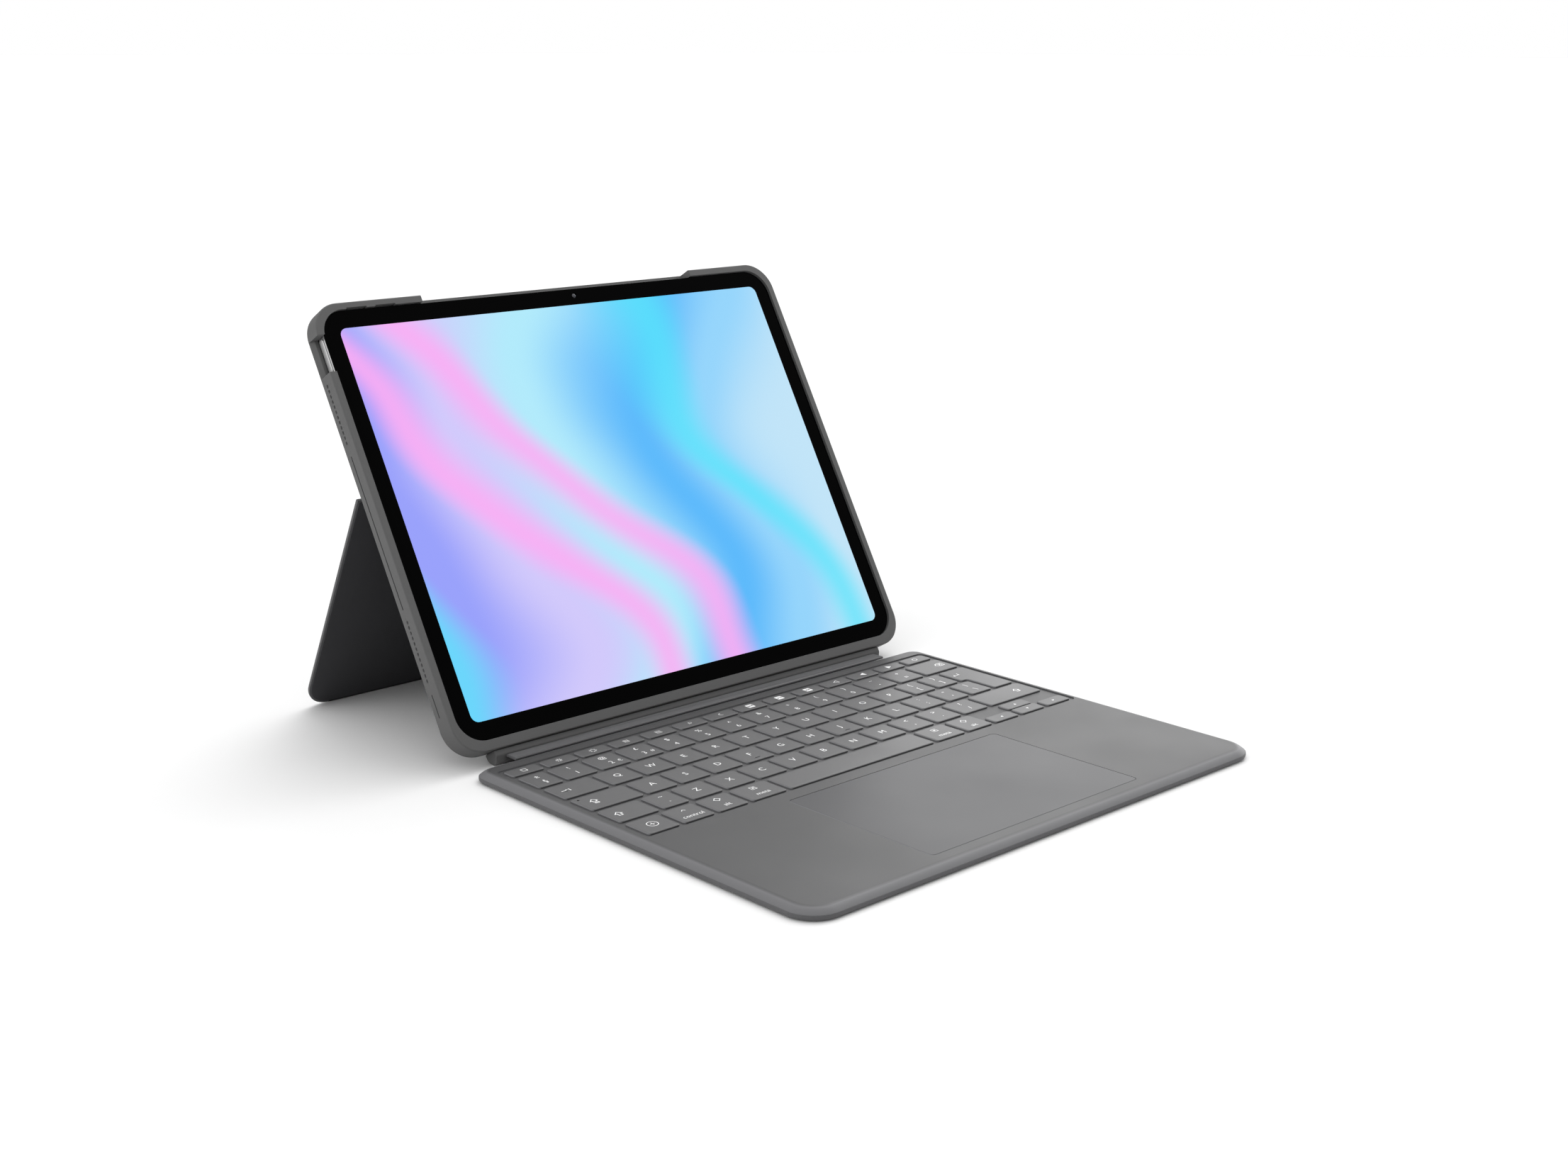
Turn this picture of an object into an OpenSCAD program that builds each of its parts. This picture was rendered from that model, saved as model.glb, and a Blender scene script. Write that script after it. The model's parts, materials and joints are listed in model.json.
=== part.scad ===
/* [Tablet] */
// Width of the tablet
tablet_w = 280.6; // [240:0.1:300]
// Height of the tablet, up its screen
tablet_h = 214.9; // [190:0.1:230]
// Thickness of the tablet
tablet_t = 6.1; // [5:0.1:8]
// Width of the lit display
display_w = 262.9; // [220:0.1:270]
// Height of the lit display
display_h = 197; // [170:0.1:205]
// Corner radius of the lit display
display_r = 4; // [2:0.5:6]
// Corner radius of the tablet
tablet_r = 13.5; // [10:0.5:16]

/* [Case] */
// Angle of the screen above the horizontal
tilt = 60; // [50:1:70]
// Thickness of the side walls
wall_side = 3.9; // [3:0.1:5]
// Thickness of the bottom wall
wall_bottom = 5.3; // [4:0.1:6]
// Thickness of the top bumpers
wall_top = 3.75; // [3:0.1:5]
// How far the rim stands in front of the glass
rim_front = 1.2; // [0.5:0.1:2]
// Depth of the case behind the glass
case_depth = 9.7; // [9.3:0.1:11]
// Radius of the camera window in the back
camera_window_r = 10.5; // [9.5:0.1:12]

/* [Keyboard] */
// Width of the keyboard
kb_w = 288.4; // [284:0.1:290]
// Depth of the keyboard, front to back
kb_d = 221.2; // [221:0.1:232]
// Thickness of the keyboard
kb_t = 5.2; // [5.1:0.1:6.5]
// Radius of the keyboard's two front corners
kb_r = 14.5; // [12:0.5:18]
// Radius of the keyboard's two rear corners
kb_rear_r = 9; // [8:0.5:14]
// Gap between the caps
cap_gap = 2.14; // [1.8:0.01:2.4]
// Width of a letter cap
cap_w = 17.2; // [16.8:0.1:17.4]
// Depth of a letter cap
cap_d = 16.5; // [15.5:0.1:16.7]
// Distance from row to row
row_pitch = 18.83; // [18.6:0.01:19.2]
// Travel of a cap
cap_travel = 1; // [0.6:0.1:1]
// Width of the trackpad
pad_w = 133.7; // [110:0.1:140]
// Depth of the trackpad
pad_d = 85.2; // [70:0.1:88]

/* [Kickstand] */
// Height of the hinge line above the bottom of the display
hinge_v = 118.8; // [100:0.1:125]
// Thickness of the kickstand
kick_t = 1.9; // [1.9:0.1:2.4]
// Corner radius at the foot
kick_r = 13; // [8:1:20]

/* [Hidden] */
$fn = 32;

shell_grey = "#75777b";
skin_grey = "#5e6064";
dark_grey = "#2b2c30";

// Levels above the table, up through the keyboard
floor_t = 0.8;
seam_z = kb_t - 2.4;
stack_z = floor_t + 0.85;
well_z = kb_t - 0.9;
web_t = 0.8;
cap_top = kb_t + 0.2;
cap_low = well_z - web_t - 0.1;
// The display's lower edge, on the glass
glass_z = kb_t + 15;
// The keyboard's rear edge, in front of the display's lower edge
rear_gap = 15.3;
// The flap's two pivots, from the display's lower edge
flap_t = 1.4;
pivot_z = kb_t - flap_t / 2;
pivot_a = -rear_gap - 0.3;
pivot_b = -9.6;
flap_w = 240;
// The case, measured up the screen (v) and out of the glass (n)
bezel_h = (tablet_h - display_h) / 2;
mid_v = display_h / 2;
seat_gap = 0.2;
case_w = tablet_w + 2 * wall_side;
case_low = -bezel_h - wall_bottom;
case_high = display_h + bezel_h + wall_top;
case_h = case_high - case_low;
case_mid = (case_high + case_low) / 2;
lining_t = 0.3;
floor_n = -tablet_t - 0.15 - lining_t;
skin_t = 0.4;
// The kickstand
hinge_n = -case_depth - 0.35 - kick_t / 2;
kick_l = hinge_v - case_low - 0.8;
kick_w = case_w - 1.2;
hinge_y = hinge_v * cos(tilt) - hinge_n * sin(tilt);
hinge_z = glass_z + hinge_v * sin(tilt) + hinge_n * cos(tilt);
kick_lean = asin((hinge_z - kick_t / 2) / (kick_l - kick_t / 2));
kick_open = 180 - tilt - kick_lean;
knuckle_r = 1.7;
pin_r = 0.8;
knuckle_l = 12;
hinge_xs = [-100, 100];
// Where the display's lower edge stands, so that the origin is below the middle of the whole
foot_back = hinge_y + (kick_l - kick_t / 2) * cos(kick_lean) + kick_t / 2;
y0 = (rear_gap + kb_d - foot_back) / 2;

// The caps: the left edge of the rows, and each row's middle
row_w = 271.7;
row_left = -row_w / 2;
rows_y = -47.4;
narrow_w = 14.6;
function_d = 8.3;
function_y = -32.4;
half_d = (cap_d - 0.6) / 2;
bottom_row = 4;
well_w = 277;
well_rear = -25.8;
well_front = -132.8;
pad_y = -183.5;
function fill(widths) = row_w - cap_gap * (len(widths)) - sum(widths);
function sum(list, n = 0) = n >= len(list) ? 0 : list[n] + sum(list, n + 1);
function start(widths, n) = row_left + n * cap_gap + sum([for (i = [0:1:n - 1]) widths[i]]);
function row_y(n) = rows_y - n * row_pitch;
function whole(widths) = concat(widths, [fill(widths)]);
function many(n, w) = [for (i = [1:n]) w];
function_row = many(14, (row_w - 13 * cap_gap) / 14);
number_row = whole(concat([13.7], many(12, cap_w)));
upper_row = whole(concat([24.5], many(10, cap_w), many(2, narrow_w)));
home_row = whole(concat([28.7], many(10, cap_w), many(2, narrow_w)));
lower_row = whole(concat([21.7, narrow_w], many(10, cap_w)));
left_mods = concat(many(3, cap_w), [20.5]);
right_mods = concat([19.4], many(4, cap_w));
space_w = row_w - 9 * cap_gap - sum(left_mods) - sum(right_mods);
bottom_keys = concat(left_mods, [space_w], right_mods);

// A cap is [middle x, middle y, width, depth]
function cap(widths, n, y, d = cap_d) = [start(widths, n) + widths[n] / 2, y, widths[n], d];
function caps(widths, from, to, y, d = cap_d) = [for (i = [from:to]) cap(widths, i, y, d)];
low_half = row_y(bottom_row) - (cap_d - half_d) / 2;
high_half = row_y(bottom_row) + (cap_d - half_d) / 2;
function_caps = caps(function_row, 0, 13, function_y, function_d);
number_caps = caps(number_row, 0, 12, row_y(0));
backspace_cap = cap(number_row, 13, row_y(0));
tab_cap = cap(upper_row, 0, row_y(1));
upper_caps = caps(upper_row, 1, 12, row_y(1));
return_high = cap(upper_row, 13, row_y(1));
caps_cap = cap(home_row, 0, row_y(2));
home_caps = caps(home_row, 1, 12, row_y(2));
return_low = cap(home_row, 13, row_y(2));
left_shift_cap = cap(lower_row, 0, row_y(3));
lower_caps = caps(lower_row, 1, 11, row_y(3));
right_shift_cap = cap(lower_row, 12, row_y(3));
mod_caps = [for (i = [0, 1, 2, 3, 5, 6]) cap(bottom_keys, i, row_y(bottom_row))];
space_cap = cap(bottom_keys, 4, row_y(bottom_row));
left_cap = cap(bottom_keys, 7, low_half, half_d);
up_cap = cap(bottom_keys, 8, high_half, half_d);
down_cap = cap(bottom_keys, 8, low_half, half_d);
right_cap = cap(bottom_keys, 9, low_half, half_d);
switch_caps = concat(function_caps, number_caps, upper_caps, home_caps, lower_caps, mod_caps,
    [backspace_cap, tab_cap, caps_cap, return_low, left_shift_cap, right_shift_cap, space_cap,
    left_cap, up_cap, down_cap, right_cap]);
light_xy = [caps_cap[0] - caps_cap[2] / 2 + 2.6, caps_cap[1] + cap_d / 2 - 3];

module rounded(w, h, r) {
    square([w - 2 * r, h], center = true);
    square([w, h - 2 * r], center = true);
    for (x = [-1, 1], y = [-1, 1]) translate([x * (w / 2 - r), y * (h / 2 - r)]) circle(r);
}

module slab(w, h, r, low, high) {
    translate([0, 0, low]) linear_extrude(high - low) rounded(w, h, r);
}

module block(x, y, z) {
    translate([x[0], y[0], z[0]]) cube([x[1] - x[0], y[1] - y[0], z[1] - z[0]]);
}

// The frame of the keyboard: x, and y back from the display's lower edge
module on_table() { translate([0, y0, 0]) children(); }

// The frame of the case: x, v up the screen, n out of the glass
module on_case() { translate([0, y0, glass_z]) rotate([tilt, 0, 0]) children(); }

// The frame of the kickstand: its hinge is the x axis, and it hangs down -y when shut
module on_kick() { on_case() translate([0, hinge_v, hinge_n]) rotate([kick_open, 0, 0]) children(); }

module at_keyboard_middle() { on_table() translate([0, -rear_gap - kb_d / 2, 0]) children(); }

// One level of the keyboard's outline, whose rear corners are tighter than its front ones
module keyboard_level(inset, low, high) {
    translate([0, 0, low]) linear_extrude(high - low) for (x = [-1, 1]) {
        translate([x * (kb_w / 2 - kb_r), kb_r - kb_d / 2]) circle(kb_r - inset);
        translate([x * (kb_w / 2 - kb_rear_r), kb_d / 2 - kb_rear_r]) circle(kb_rear_r - inset);
    }
}

module keyboard_bottom_cover() {
    color(skin_grey) {
        difference() {
            at_keyboard_middle() hull() {
                keyboard_level(2, 0, 0.1);
                keyboard_level(0, 0.9, seam_z);
            }
            at_keyboard_middle() slab(kb_w - 12, kb_d - 12, 9, floor_t, seam_z + 1);
        }
        on_table() translate([0, pad_y, 0]) for (x = switch_xs)
            translate([x, switch_y, floor_t - 0.1]) cylinder(h = 1.1, r = 3);
    }
}

module keyboard_top_deck() {
    color(shell_grey) difference() {
        at_keyboard_middle() hull() {
            keyboard_level(0, seam_z, seam_z + 0.5);
            keyboard_level(1.2, kb_t - 1, kb_t - 0.9);
            keyboard_level(4, kb_t - 0.1, kb_t);
        }
        on_table() {
            block([-well_w / 2, well_w / 2], [well_front, well_rear], [seam_z - 1, kb_t + 1]);
            translate([0, pad_y, 0]) slab(pad_w + 0.6, pad_d + 0.6, 2.8, seam_z - 1, kb_t + 1);
            block([-flap_w / 2 - 0.5, flap_w / 2 + 0.5], [pivot_a - 1, 0], [seam_z - 1, kb_t + 1]);
        }
    }
}

module key_frame() {
    color(shell_grey) on_table() translate([0, 0, well_z - web_t]) linear_extrude(web_t) difference() {
        translate([0, (well_rear + well_front) / 2])
            square([well_w, well_rear - well_front], center = true);
        for (c = concat(switch_caps, [return_high]))
            translate([c[0], c[1]]) square([c[2] + 0.5, c[3] + 0.5], center = true);
        translate([return_low[0], (return_low[1] + return_high[1]) / 2])
            square([return_low[2] + 0.5, row_pitch], center = true);
    }
}

module inner_sheet(low, high, inset) {
    on_table() block([inset - well_w / 2, well_w / 2 - inset], [well_front + inset, well_rear - inset],
        [low, high]);
}

module backlight_guide() { color("white") inner_sheet(floor_t + 0.05, floor_t + 0.3, 3); }
module key_support_plate() { color("silver") inner_sheet(floor_t + 0.35, floor_t + 0.65, 2); }
module switch_membrane() { color("darkseagreen") inner_sheet(floor_t + 0.7, stack_z - 0.05, 2); }

module rubber_domes() {
    color("gainsboro") on_table() for (c = switch_caps)
        translate([c[0], c[1], stack_z]) cylinder(h = 1.5, r1 = 2.6, r2 = 1.5);
}

module scissor_frames() {
    color("white") on_table() for (c = switch_caps)
        translate([c[0], c[1], stack_z + 0.05]) linear_extrude(0.6) difference() {
            square([12, min(11, c[3] - 1.4)], center = true);
            square([9.6, min(8.6, c[3] - 2.5)], center = true);
        }
}

module keyboard_circuit_board() {
    color("seagreen") on_table() {
        block([-132, -78], [-220.5, -146], [floor_t + 0.1, floor_t + 0.7]);
        block([-112, -98], [-200, -186], [floor_t + 0.7, floor_t + 1.6]);
        block([-128, -118], [-170, -154], [floor_t + 0.7, floor_t + 1.3]);
    }
}

module closing_magnets() {
    color("lightgray") on_table() for (x = [-1, 1], k = [0:3])
        translate([x * (76 + 18 * k), -226, floor_t + 0.1]) cylinder(h = 1.7, r = 4);
}

switch_xs = [-40, 0, 40];
switch_y = 12 - pad_d / 2;

module trackpad_click_switch() {
    color("goldenrod") on_table() for (x = switch_xs)
        translate([x, pad_y + switch_y, floor_t + 1.05]) cylinder(h = 0.8, r = 2.2);
}

module trackpad_plate() {
    color(skin_grey) on_table() translate([0, pad_y, 0]) slab(pad_w, pad_d, 2.5, kb_t - 1.2, kb_t);
}

module trackpad_circuit_board() {
    color("seagreen") on_table() translate([0, pad_y, 0])
        slab(pad_w - 4, pad_d - 4, 1.5, kb_t - 2.05, kb_t - 1.25);
}

module one_cap(c) {
    difference() {
        translate([c[0], c[1], 0]) {
            slab(c[2], c[3], 1.6, cap_low, well_z + 0.5);
            slab(c[2] - 0.9, c[3] - 0.9, 1.4, well_z + 0.4, cap_top);
        }
        translate([c[0], c[1], 0]) block([1.2 - c[2] / 2, c[2] / 2 - 1.2], [1.2 - c[3] / 2, c[3] / 2 - 1.2],
            [cap_low - 1, cap_top - 1]);
    }
}

module key_group(list) { color(shell_grey) on_table() for (c = list) one_cap(c); }

module function_keys() { key_group(function_caps); }
module number_keys() { key_group(number_caps); }
module upper_letter_keys() { key_group(upper_caps); }
module home_letter_keys() { key_group(home_caps); }
module lower_letter_keys() { key_group(lower_caps); }
module modifier_keys() { key_group(mod_caps); }
module tab_key() { key_group([tab_cap]); }
module left_shift_key() { key_group([left_shift_cap]); }
module right_shift_key() { key_group([right_shift_cap]); }
module backspace_key() { key_group([backspace_cap]); }
module space_bar() { key_group([space_cap]); }
module left_arrow_key() { key_group([left_cap]); }
module right_arrow_key() { key_group([right_cap]); }
module up_arrow_key() { key_group([up_cap]); }
module down_arrow_key() { key_group([down_cap]); }

module caps_lock_key() {
    difference() {
        key_group([caps_cap]);
        on_table() translate([light_xy[0], light_xy[1], cap_low]) cylinder(h = kb_t, r = 0.6);
    }
}

module caps_lock_light() {
    color("palegreen") on_table() translate([light_xy[0], light_xy[1], cap_top - 1]) cylinder(h = 1, r = 0.55);
}

module return_key() {
    tall = [return_low[0], (return_low[1] + return_high[1]) / 2, return_low[2], row_pitch + cap_d];
    color(shell_grey) on_table() difference() {
        union() for (c = [return_high, tall]) translate([c[0], c[1], 0]) {
            slab(c[2], c[3], 1.6, cap_low, well_z + 0.5);
            slab(c[2] - 0.9, c[3] - 0.9, 1.4, well_z + 0.4, cap_top);
        }
        for (c = [return_high, tall]) translate([c[0], c[1], 0])
            block([1.2 - c[2] / 2, c[2] / 2 - 1.2], [1.2 - c[3] / 2, c[3] / 2 - 1.2],
                [cap_low - 1, cap_top - 1]);
    }
}

module along_x(y, z, r, l) { translate([-l / 2, y, z]) rotate([0, 90, 0]) cylinder(h = l, r = r); }

module hinge_flap() {
    color(skin_grey) on_table() {
        along_x(pivot_a, pivot_z, flap_t / 2, flap_w);
        along_x(pivot_b, pivot_z, flap_t / 2, flap_w);
        block([-flap_w / 2, flap_w / 2], [pivot_a, pivot_b], [pivot_z - flap_t / 2, pivot_z + flap_t / 2]);
    }
}

// The bar lies along the case's bottom wall, and its round foot stands on the table
bar_w = 250.4;
bar_v = case_low - 2.9;
foot_r = 2.9;
foot_y = -5;
magnet_xs = [for (k = [-3:3]) if (k != 0) k * 34];

module connector_bar() {
    color(shell_grey) difference() {
        union() {
            on_case() block([-bar_w / 2, bar_w / 2], [bar_v, case_low - 0.1], [-8.8, -0.2]);
            on_table() along_x(foot_y, foot_r, foot_r, bar_w - 8);
        }
        on_case() for (x = magnet_xs)
            block([x - 12.1, x + 12.1], [case_low - 2.2, case_low + 1], [-7.1, -1.9]);
        on_case() block([-12.1, 12.1], [case_low - 2.6, case_low + 1], [-7.1, -1.9]);
    }
}

module bar_magnets() {
    color("silver") on_case() for (x = magnet_xs)
        block([x - 12, x + 12], [case_low - 2.1, case_low - 0.2], [-7, -2]);
}

pogo_xs = [-5, 0, 5];
pogo_n = -4.5;

module pogo_block() {
    color("dimgray") on_case() difference() {
        block([-12, 12], [case_low - 2.5, case_low - 0.15], [-7, -2]);
        for (x = pogo_xs) translate([x, case_low - 2.2, pogo_n]) rotate([-90, 0, 0])
            cylinder(h = 4, r = 1.05);
    }
}

module pogo_pins() {
    color("gold") on_case() for (x = pogo_xs) translate([x, case_low - 1.6, pogo_n])
        rotate([-90, 0, 0]) cylinder(h = 1.7, r = 1);
}

module case_outline(low, high) { translate([0, case_mid, 0]) slab(case_w, case_h, 15, low, high); }

module camera_hole(low, high, r = camera_window_r) {
    translate([camera_x, camera_v, low]) cylinder(h = high - low, r = r);
}
camera_x = 18.5 - tablet_w / 2;
camera_v = display_h + bezel_h - 18.5;

// The hinge needs a groove in the back for its knuckles
module hinge_groove() {
    for (x = hinge_xs) block([x - 19, x + 19], [hinge_v - 2.2, hinge_v + 16.2],
        [-case_depth - 1, -case_depth + skin_t + 0.8]);
}

module case_back_shell() {
    color(dark_grey) on_case() difference() {
        translate([0, case_mid, 0]) slab(case_w - 4, case_h - 4, 13.2, -case_depth + skin_t, floor_n);
        camera_hole(-20, 0);
        hinge_groove();
        block([-9.1, 9.1], [case_low, case_low + 14.1], [floor_n - 0.5, 0]);
        for (x = magnet_xs) block([x - 12.1, x + 12.1], [case_low + 1, case_low + 3.2], [-12, 0]);
    }
}

// The bare stretch of the tablet's top edge, and the cut-out for the power button
bare_top = [-82, 88.8];
cutout_v = [176, 194.6];
speaker_pitch = 2.6;
speaker_n = -4.9;
function speaker_v(start_v, k) = start_v + k * speaker_pitch;

module bumper_frame() {
    color(shell_grey) on_case() difference() {
        case_outline(-case_depth, rim_front);
        translate([0, mid_v, 0])
            slab(tablet_w + 2 * seat_gap, tablet_h + 2 * seat_gap, tablet_r, floor_n, rim_front + 1);
        translate([0, case_mid, 0]) slab(case_w - 4, case_h - 4, 13.2, -case_depth - 1, floor_n);
        // the tablet's top edge is bare between the two top bumpers
        block(bare_top, [display_h + bezel_h - 0.5, case_high + 0.5], [floor_n, rim_front + 1]);
        // the power button's cut-out, with a floor that slopes down to the outside
        translate([0, cutout_v[1], 0]) rotate([90, 0, 0]) linear_extrude(cutout_v[1] - cutout_v[0])
            polygon([[-case_w, -tablet_t - 1.9], [-case_w / 2, -tablet_t - 1.9], [-case_w / 2 + 1.9, -tablet_t],
                [-tablet_w / 2, -tablet_t], [-tablet_w / 2, rim_front + 1], [-case_w, rim_front + 1]]);
        // the charging port's cut-out
        block([tablet_w / 2, case_w], [mid_v - 7, mid_v + 7], [-tablet_t, -0.6]);
        // the speakers' holes, on both sides
        for (s = [-1, 1], v = [24.9, 142.5], k = [0:11])
            translate([s * (tablet_w / 2 - 1), speaker_v(v, k), speaker_n]) rotate([0, s * 90, 0])
                cylinder(h = 8, r = 0.7, $fn = 16);
        // the grooves of the left side
        block([-case_w, -case_w / 2 + 0.4], [59.7, 135.8], [-5.3, -4.6]);
        block([-case_w, -case_w / 2 + 0.4], [7, 18.3], [-5.3, -4.6]);
        // the openings for the volume cover
        for (x = volume_xs) {
            block([x - 6.3, x + 6.3], [case_high - 8, case_high + 1], [-5.1, -0.9]);
            block([x - 5.5, x + 5.5], [case_high - 8, case_high - wall_top + 0.8], [-5, rim_front + 1]);
        }
        for (x = magnet_xs) block([x - 12.1, x + 12.1], [case_low + 1, case_low + 3.2], [-9.1, -1.9]);
        block([-9.1, 9.1], [case_low - 1, case_low + 14.1], [floor_n - 0.1, -2.9]);
    }
}
volume_xs = [-119, -103];

module case_magnets() {
    color("silver") on_case() for (x = magnet_xs)
        block([x - 12, x + 12], [case_low + 1.1, case_low + 3.1], [-9, -2]);
}

module contact_flex() {
    color("darkorange") on_case() {
        block([-9, 9], [case_low + 0.6, case_low + 1], [-6, -3]);
        block([-9, 9], [case_low + 0.8, case_low + 4.8], [-5.4, -5]);
        block([-9, 9], [case_low + 4.4, case_low + 4.8], [floor_n - 0.4, -5.2]);
        block([-9, 9], [case_low + 4.4, case_low + 14], [floor_n - 0.4, floor_n - 0.1]);
    }
}

module case_contacts() {
    color("gold") on_case() for (x = pogo_xs) {
        translate([x, case_low + 0.1, pogo_n]) rotate([-90, 0, 0]) cylinder(h = 0.5, r = 1.4);
        translate([x, case_low + 12, floor_n - 0.1]) cylinder(h = lining_t + 0.15, r = 1.4);
    }
}

module back_fabric() {
    color(skin_grey) on_case() difference() {
        translate([0, case_mid, 0]) slab(case_w - 4.2, case_h - 4.2, 13.1, -case_depth, -case_depth + skin_t);
        camera_hole(-20, 0, camera_window_r + 1.4);
        hinge_groove();
    }
}

module microfibre_lining() {
    color("dimgray") on_case() difference() {
        translate([0, mid_v, 0]) slab(tablet_w - 6, tablet_h - 6, tablet_r - 3, floor_n, floor_n + lining_t);
        camera_hole(-20, 0, camera_window_r + 0.5);
        translate([0, case_low + 12, -10]) linear_extrude(20) square([16, 4.4], center = true);
    }
}

module camera_ring() {
    color(shell_grey) on_case() difference() {
        camera_hole(-case_depth - 0.3, -case_depth + skin_t, camera_window_r + 1.3);
        camera_hole(-20, 0);
    }
}

// One knuckle of a hinge, with an arm that joins it to its leaf
module knuckle(x, bore) {
    difference() {
        union() {
            translate([x, 0, 0]) rotate([0, 90, 0]) cylinder(h = knuckle_l - 0.2, r = knuckle_r, center = true);
            children();
        }
        translate([x, 0, 0]) rotate([0, 90, 0]) cylinder(h = knuckle_l + 2, r = bore, center = true);
    }
}

module hinge_leaves() {
    color("slategray") on_case() translate([0, hinge_v, hinge_n]) for (x = hinge_xs) {
        for (s = [-1, 1]) knuckle(x + s * knuckle_l, pin_r + 0.05)
            translate([x + s * knuckle_l, 1.1, 0.95]) cube([knuckle_l - 0.2, 2.2, 2.7], center = true);
        low = -case_depth + skin_t + 0.05 - hinge_n;
        block([x - 18, x + 18], [2, 16], [low - 0.1, low + 0.6]);
    }
}

module hinge_pins() {
    color("silver") on_kick() for (x = hinge_xs) translate([x, 0, 0]) rotate([0, 90, 0])
        cylinder(h = 3 * knuckle_l - 0.4, r = pin_r, center = true);
}

module volume_cover() {
    color(skin_grey) on_case() for (x = volume_xs)
        block([x - 6, x + 6], [display_h + bezel_h + 0.6, case_high + 0.3], [-4.8, -1.2]);
}

// The kickstand's outline hangs down -y from the hinge, with two round corners
module kick_outline(top, bottom) {
    difference() {
        translate([-kick_w / 2, bottom]) square([kick_w, top - bottom]);
        for (s = [-1, 1]) translate([s * (kick_w / 2 - kick_r), bottom + kick_r]) difference() {
            translate([s > 0 ? 0 : -kick_r - 1, -kick_r - 1]) square([kick_r + 1, kick_r + 1]);
            circle(kick_r);
        }
    }
}
foot_strip = 4;
kick_top = -2.8;
half_t = kick_t / 2;

module kickstand_panel() {
    color(dark_grey) on_kick() {
        difference() {
            translate([0, 0, -half_t + skin_t]) linear_extrude(kick_t - skin_t)
                kick_outline(kick_top, -kick_l + foot_strip - 1);
            block([kick_r - kick_w / 2, kick_w / 2 - kick_r], [-kick_l - 1, -kick_l + foot_strip], [-2, 2]);
        }
        for (x = hinge_xs) knuckle(x, pin_r)
            block([x - knuckle_l / 2 + 0.1, x + knuckle_l / 2 - 0.1], [kick_top - 1, 0], [-0.5, half_t - 0.05]);
    }
}

module kickstand_fabric() {
    color(skin_grey) on_kick() difference() {
        translate([0, 0, -half_t]) linear_extrude(skin_t) kick_outline(kick_top, -kick_l + foot_strip - 1);
        block([kick_r - kick_w / 2, kick_w / 2 - kick_r], [-kick_l - 1, -kick_l + foot_strip], [-2, 2]);
    }
}

module kickstand_foot() {
    color("black") on_kick() {
        block([kick_r - kick_w / 2 + 0.05, kick_w / 2 - kick_r - 0.05],
            [-kick_l + half_t, -kick_l + foot_strip - 0.05], [-half_t, half_t]);
        along_x(-kick_l + half_t, 0, half_t, kick_w - 2 * kick_r - 0.1);
    }
}

button_v = [176.75, 193.75];
button_n = [-5.3, -1.8];

module tablet_slab(shrink, low, high) {
    translate([0, mid_v, 0]) slab(tablet_w - 2 * shrink, tablet_h - 2 * shrink, tablet_r - shrink, low, high);
}

module tablet_housing() {
    color("silver") on_case() difference() {
        tablet_slab(0, -tablet_t, -0.75);
        tablet_slab(1.4, -tablet_t + 0.8, 1);
        block([-tablet_w, 2 - tablet_w / 2], button_v + [-0.15, 0.15], button_n + [-0.15, 0.15]);
        for (x = volume_xs) block([x - 5.1, x + 5.1], [display_h + bezel_h - 2, case_high], [-4.3, -1.7]);
        block([tablet_w / 2 - 3, tablet_w], [mid_v - 4.5, mid_v + 4.5], [-4.7, -1.7]);
        camera_hole(-20, -3, 6.1);
    }
}

module tablet_glass() { color("#0b0b0d") on_case() tablet_slab(0.1, -0.7, 0); }

module display_panel() {
    color("skyblue") on_case() translate([0, mid_v, 0]) slab(display_w, display_h, display_r, -1.9, -0.75);
}

module tablet_battery() {
    color("black") on_case() {
        block([-100, -4], [30, 175], [-tablet_t + 0.9, -2.1]);
        block([4, 100], [30, 175], [-tablet_t + 0.9, -2.1]);
    }
}

module tablet_logic_board() {
    color("seagreen") on_case() block([104, 132], [20, 180], [-tablet_t + 0.9, -3.6]);
}

module front_camera() {
    color("midnightblue") on_case() translate([9.3, 202, -3.9]) cylinder(h = 3.15, r = 1.7);
}

module rear_camera() {
    color("midnightblue") on_case() {
        camera_hole(-tablet_t - 1.9, -3.2, 6);
        translate([camera_x, camera_v, -tablet_t - 1]) cylinder(h = 0.95, r = 8.2);
    }
}

module power_button() {
    color("silver") on_case() block([-tablet_w / 2 - 0.5, 1.5 - tablet_w / 2], button_v, button_n);
}

module volume_buttons() {
    color("silver") on_case() for (x = volume_xs)
        block([x - 5, x + 5], [display_h + bezel_h - 1.5, display_h + bezel_h + 0.5], [-4.2, -1.8]);
}

keyboard_bottom_cover();
keyboard_top_deck();
key_frame();
key_support_plate();
switch_membrane();
backlight_guide();
rubber_domes();
scissor_frames();
keyboard_circuit_board();
trackpad_click_switch();
closing_magnets();
trackpad_plate();
trackpad_circuit_board();
function_keys();
number_keys();
upper_letter_keys();
home_letter_keys();
lower_letter_keys();
modifier_keys();
tab_key();
caps_lock_key();
caps_lock_light();
left_shift_key();
right_shift_key();
return_key();
backspace_key();
space_bar();
left_arrow_key();
right_arrow_key();
up_arrow_key();
down_arrow_key();
hinge_flap();
connector_bar();
bar_magnets();
pogo_block();
pogo_pins();
case_back_shell();
bumper_frame();
back_fabric();
microfibre_lining();
camera_ring();
case_contacts();
contact_flex();
case_magnets();
hinge_leaves();
volume_cover();
kickstand_panel();
kickstand_fabric();
kickstand_foot();
hinge_pins();
tablet_housing();
tablet_glass();
display_panel();
tablet_battery();
tablet_logic_board();
front_camera();
rear_camera();
power_button();
volume_buttons();
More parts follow.
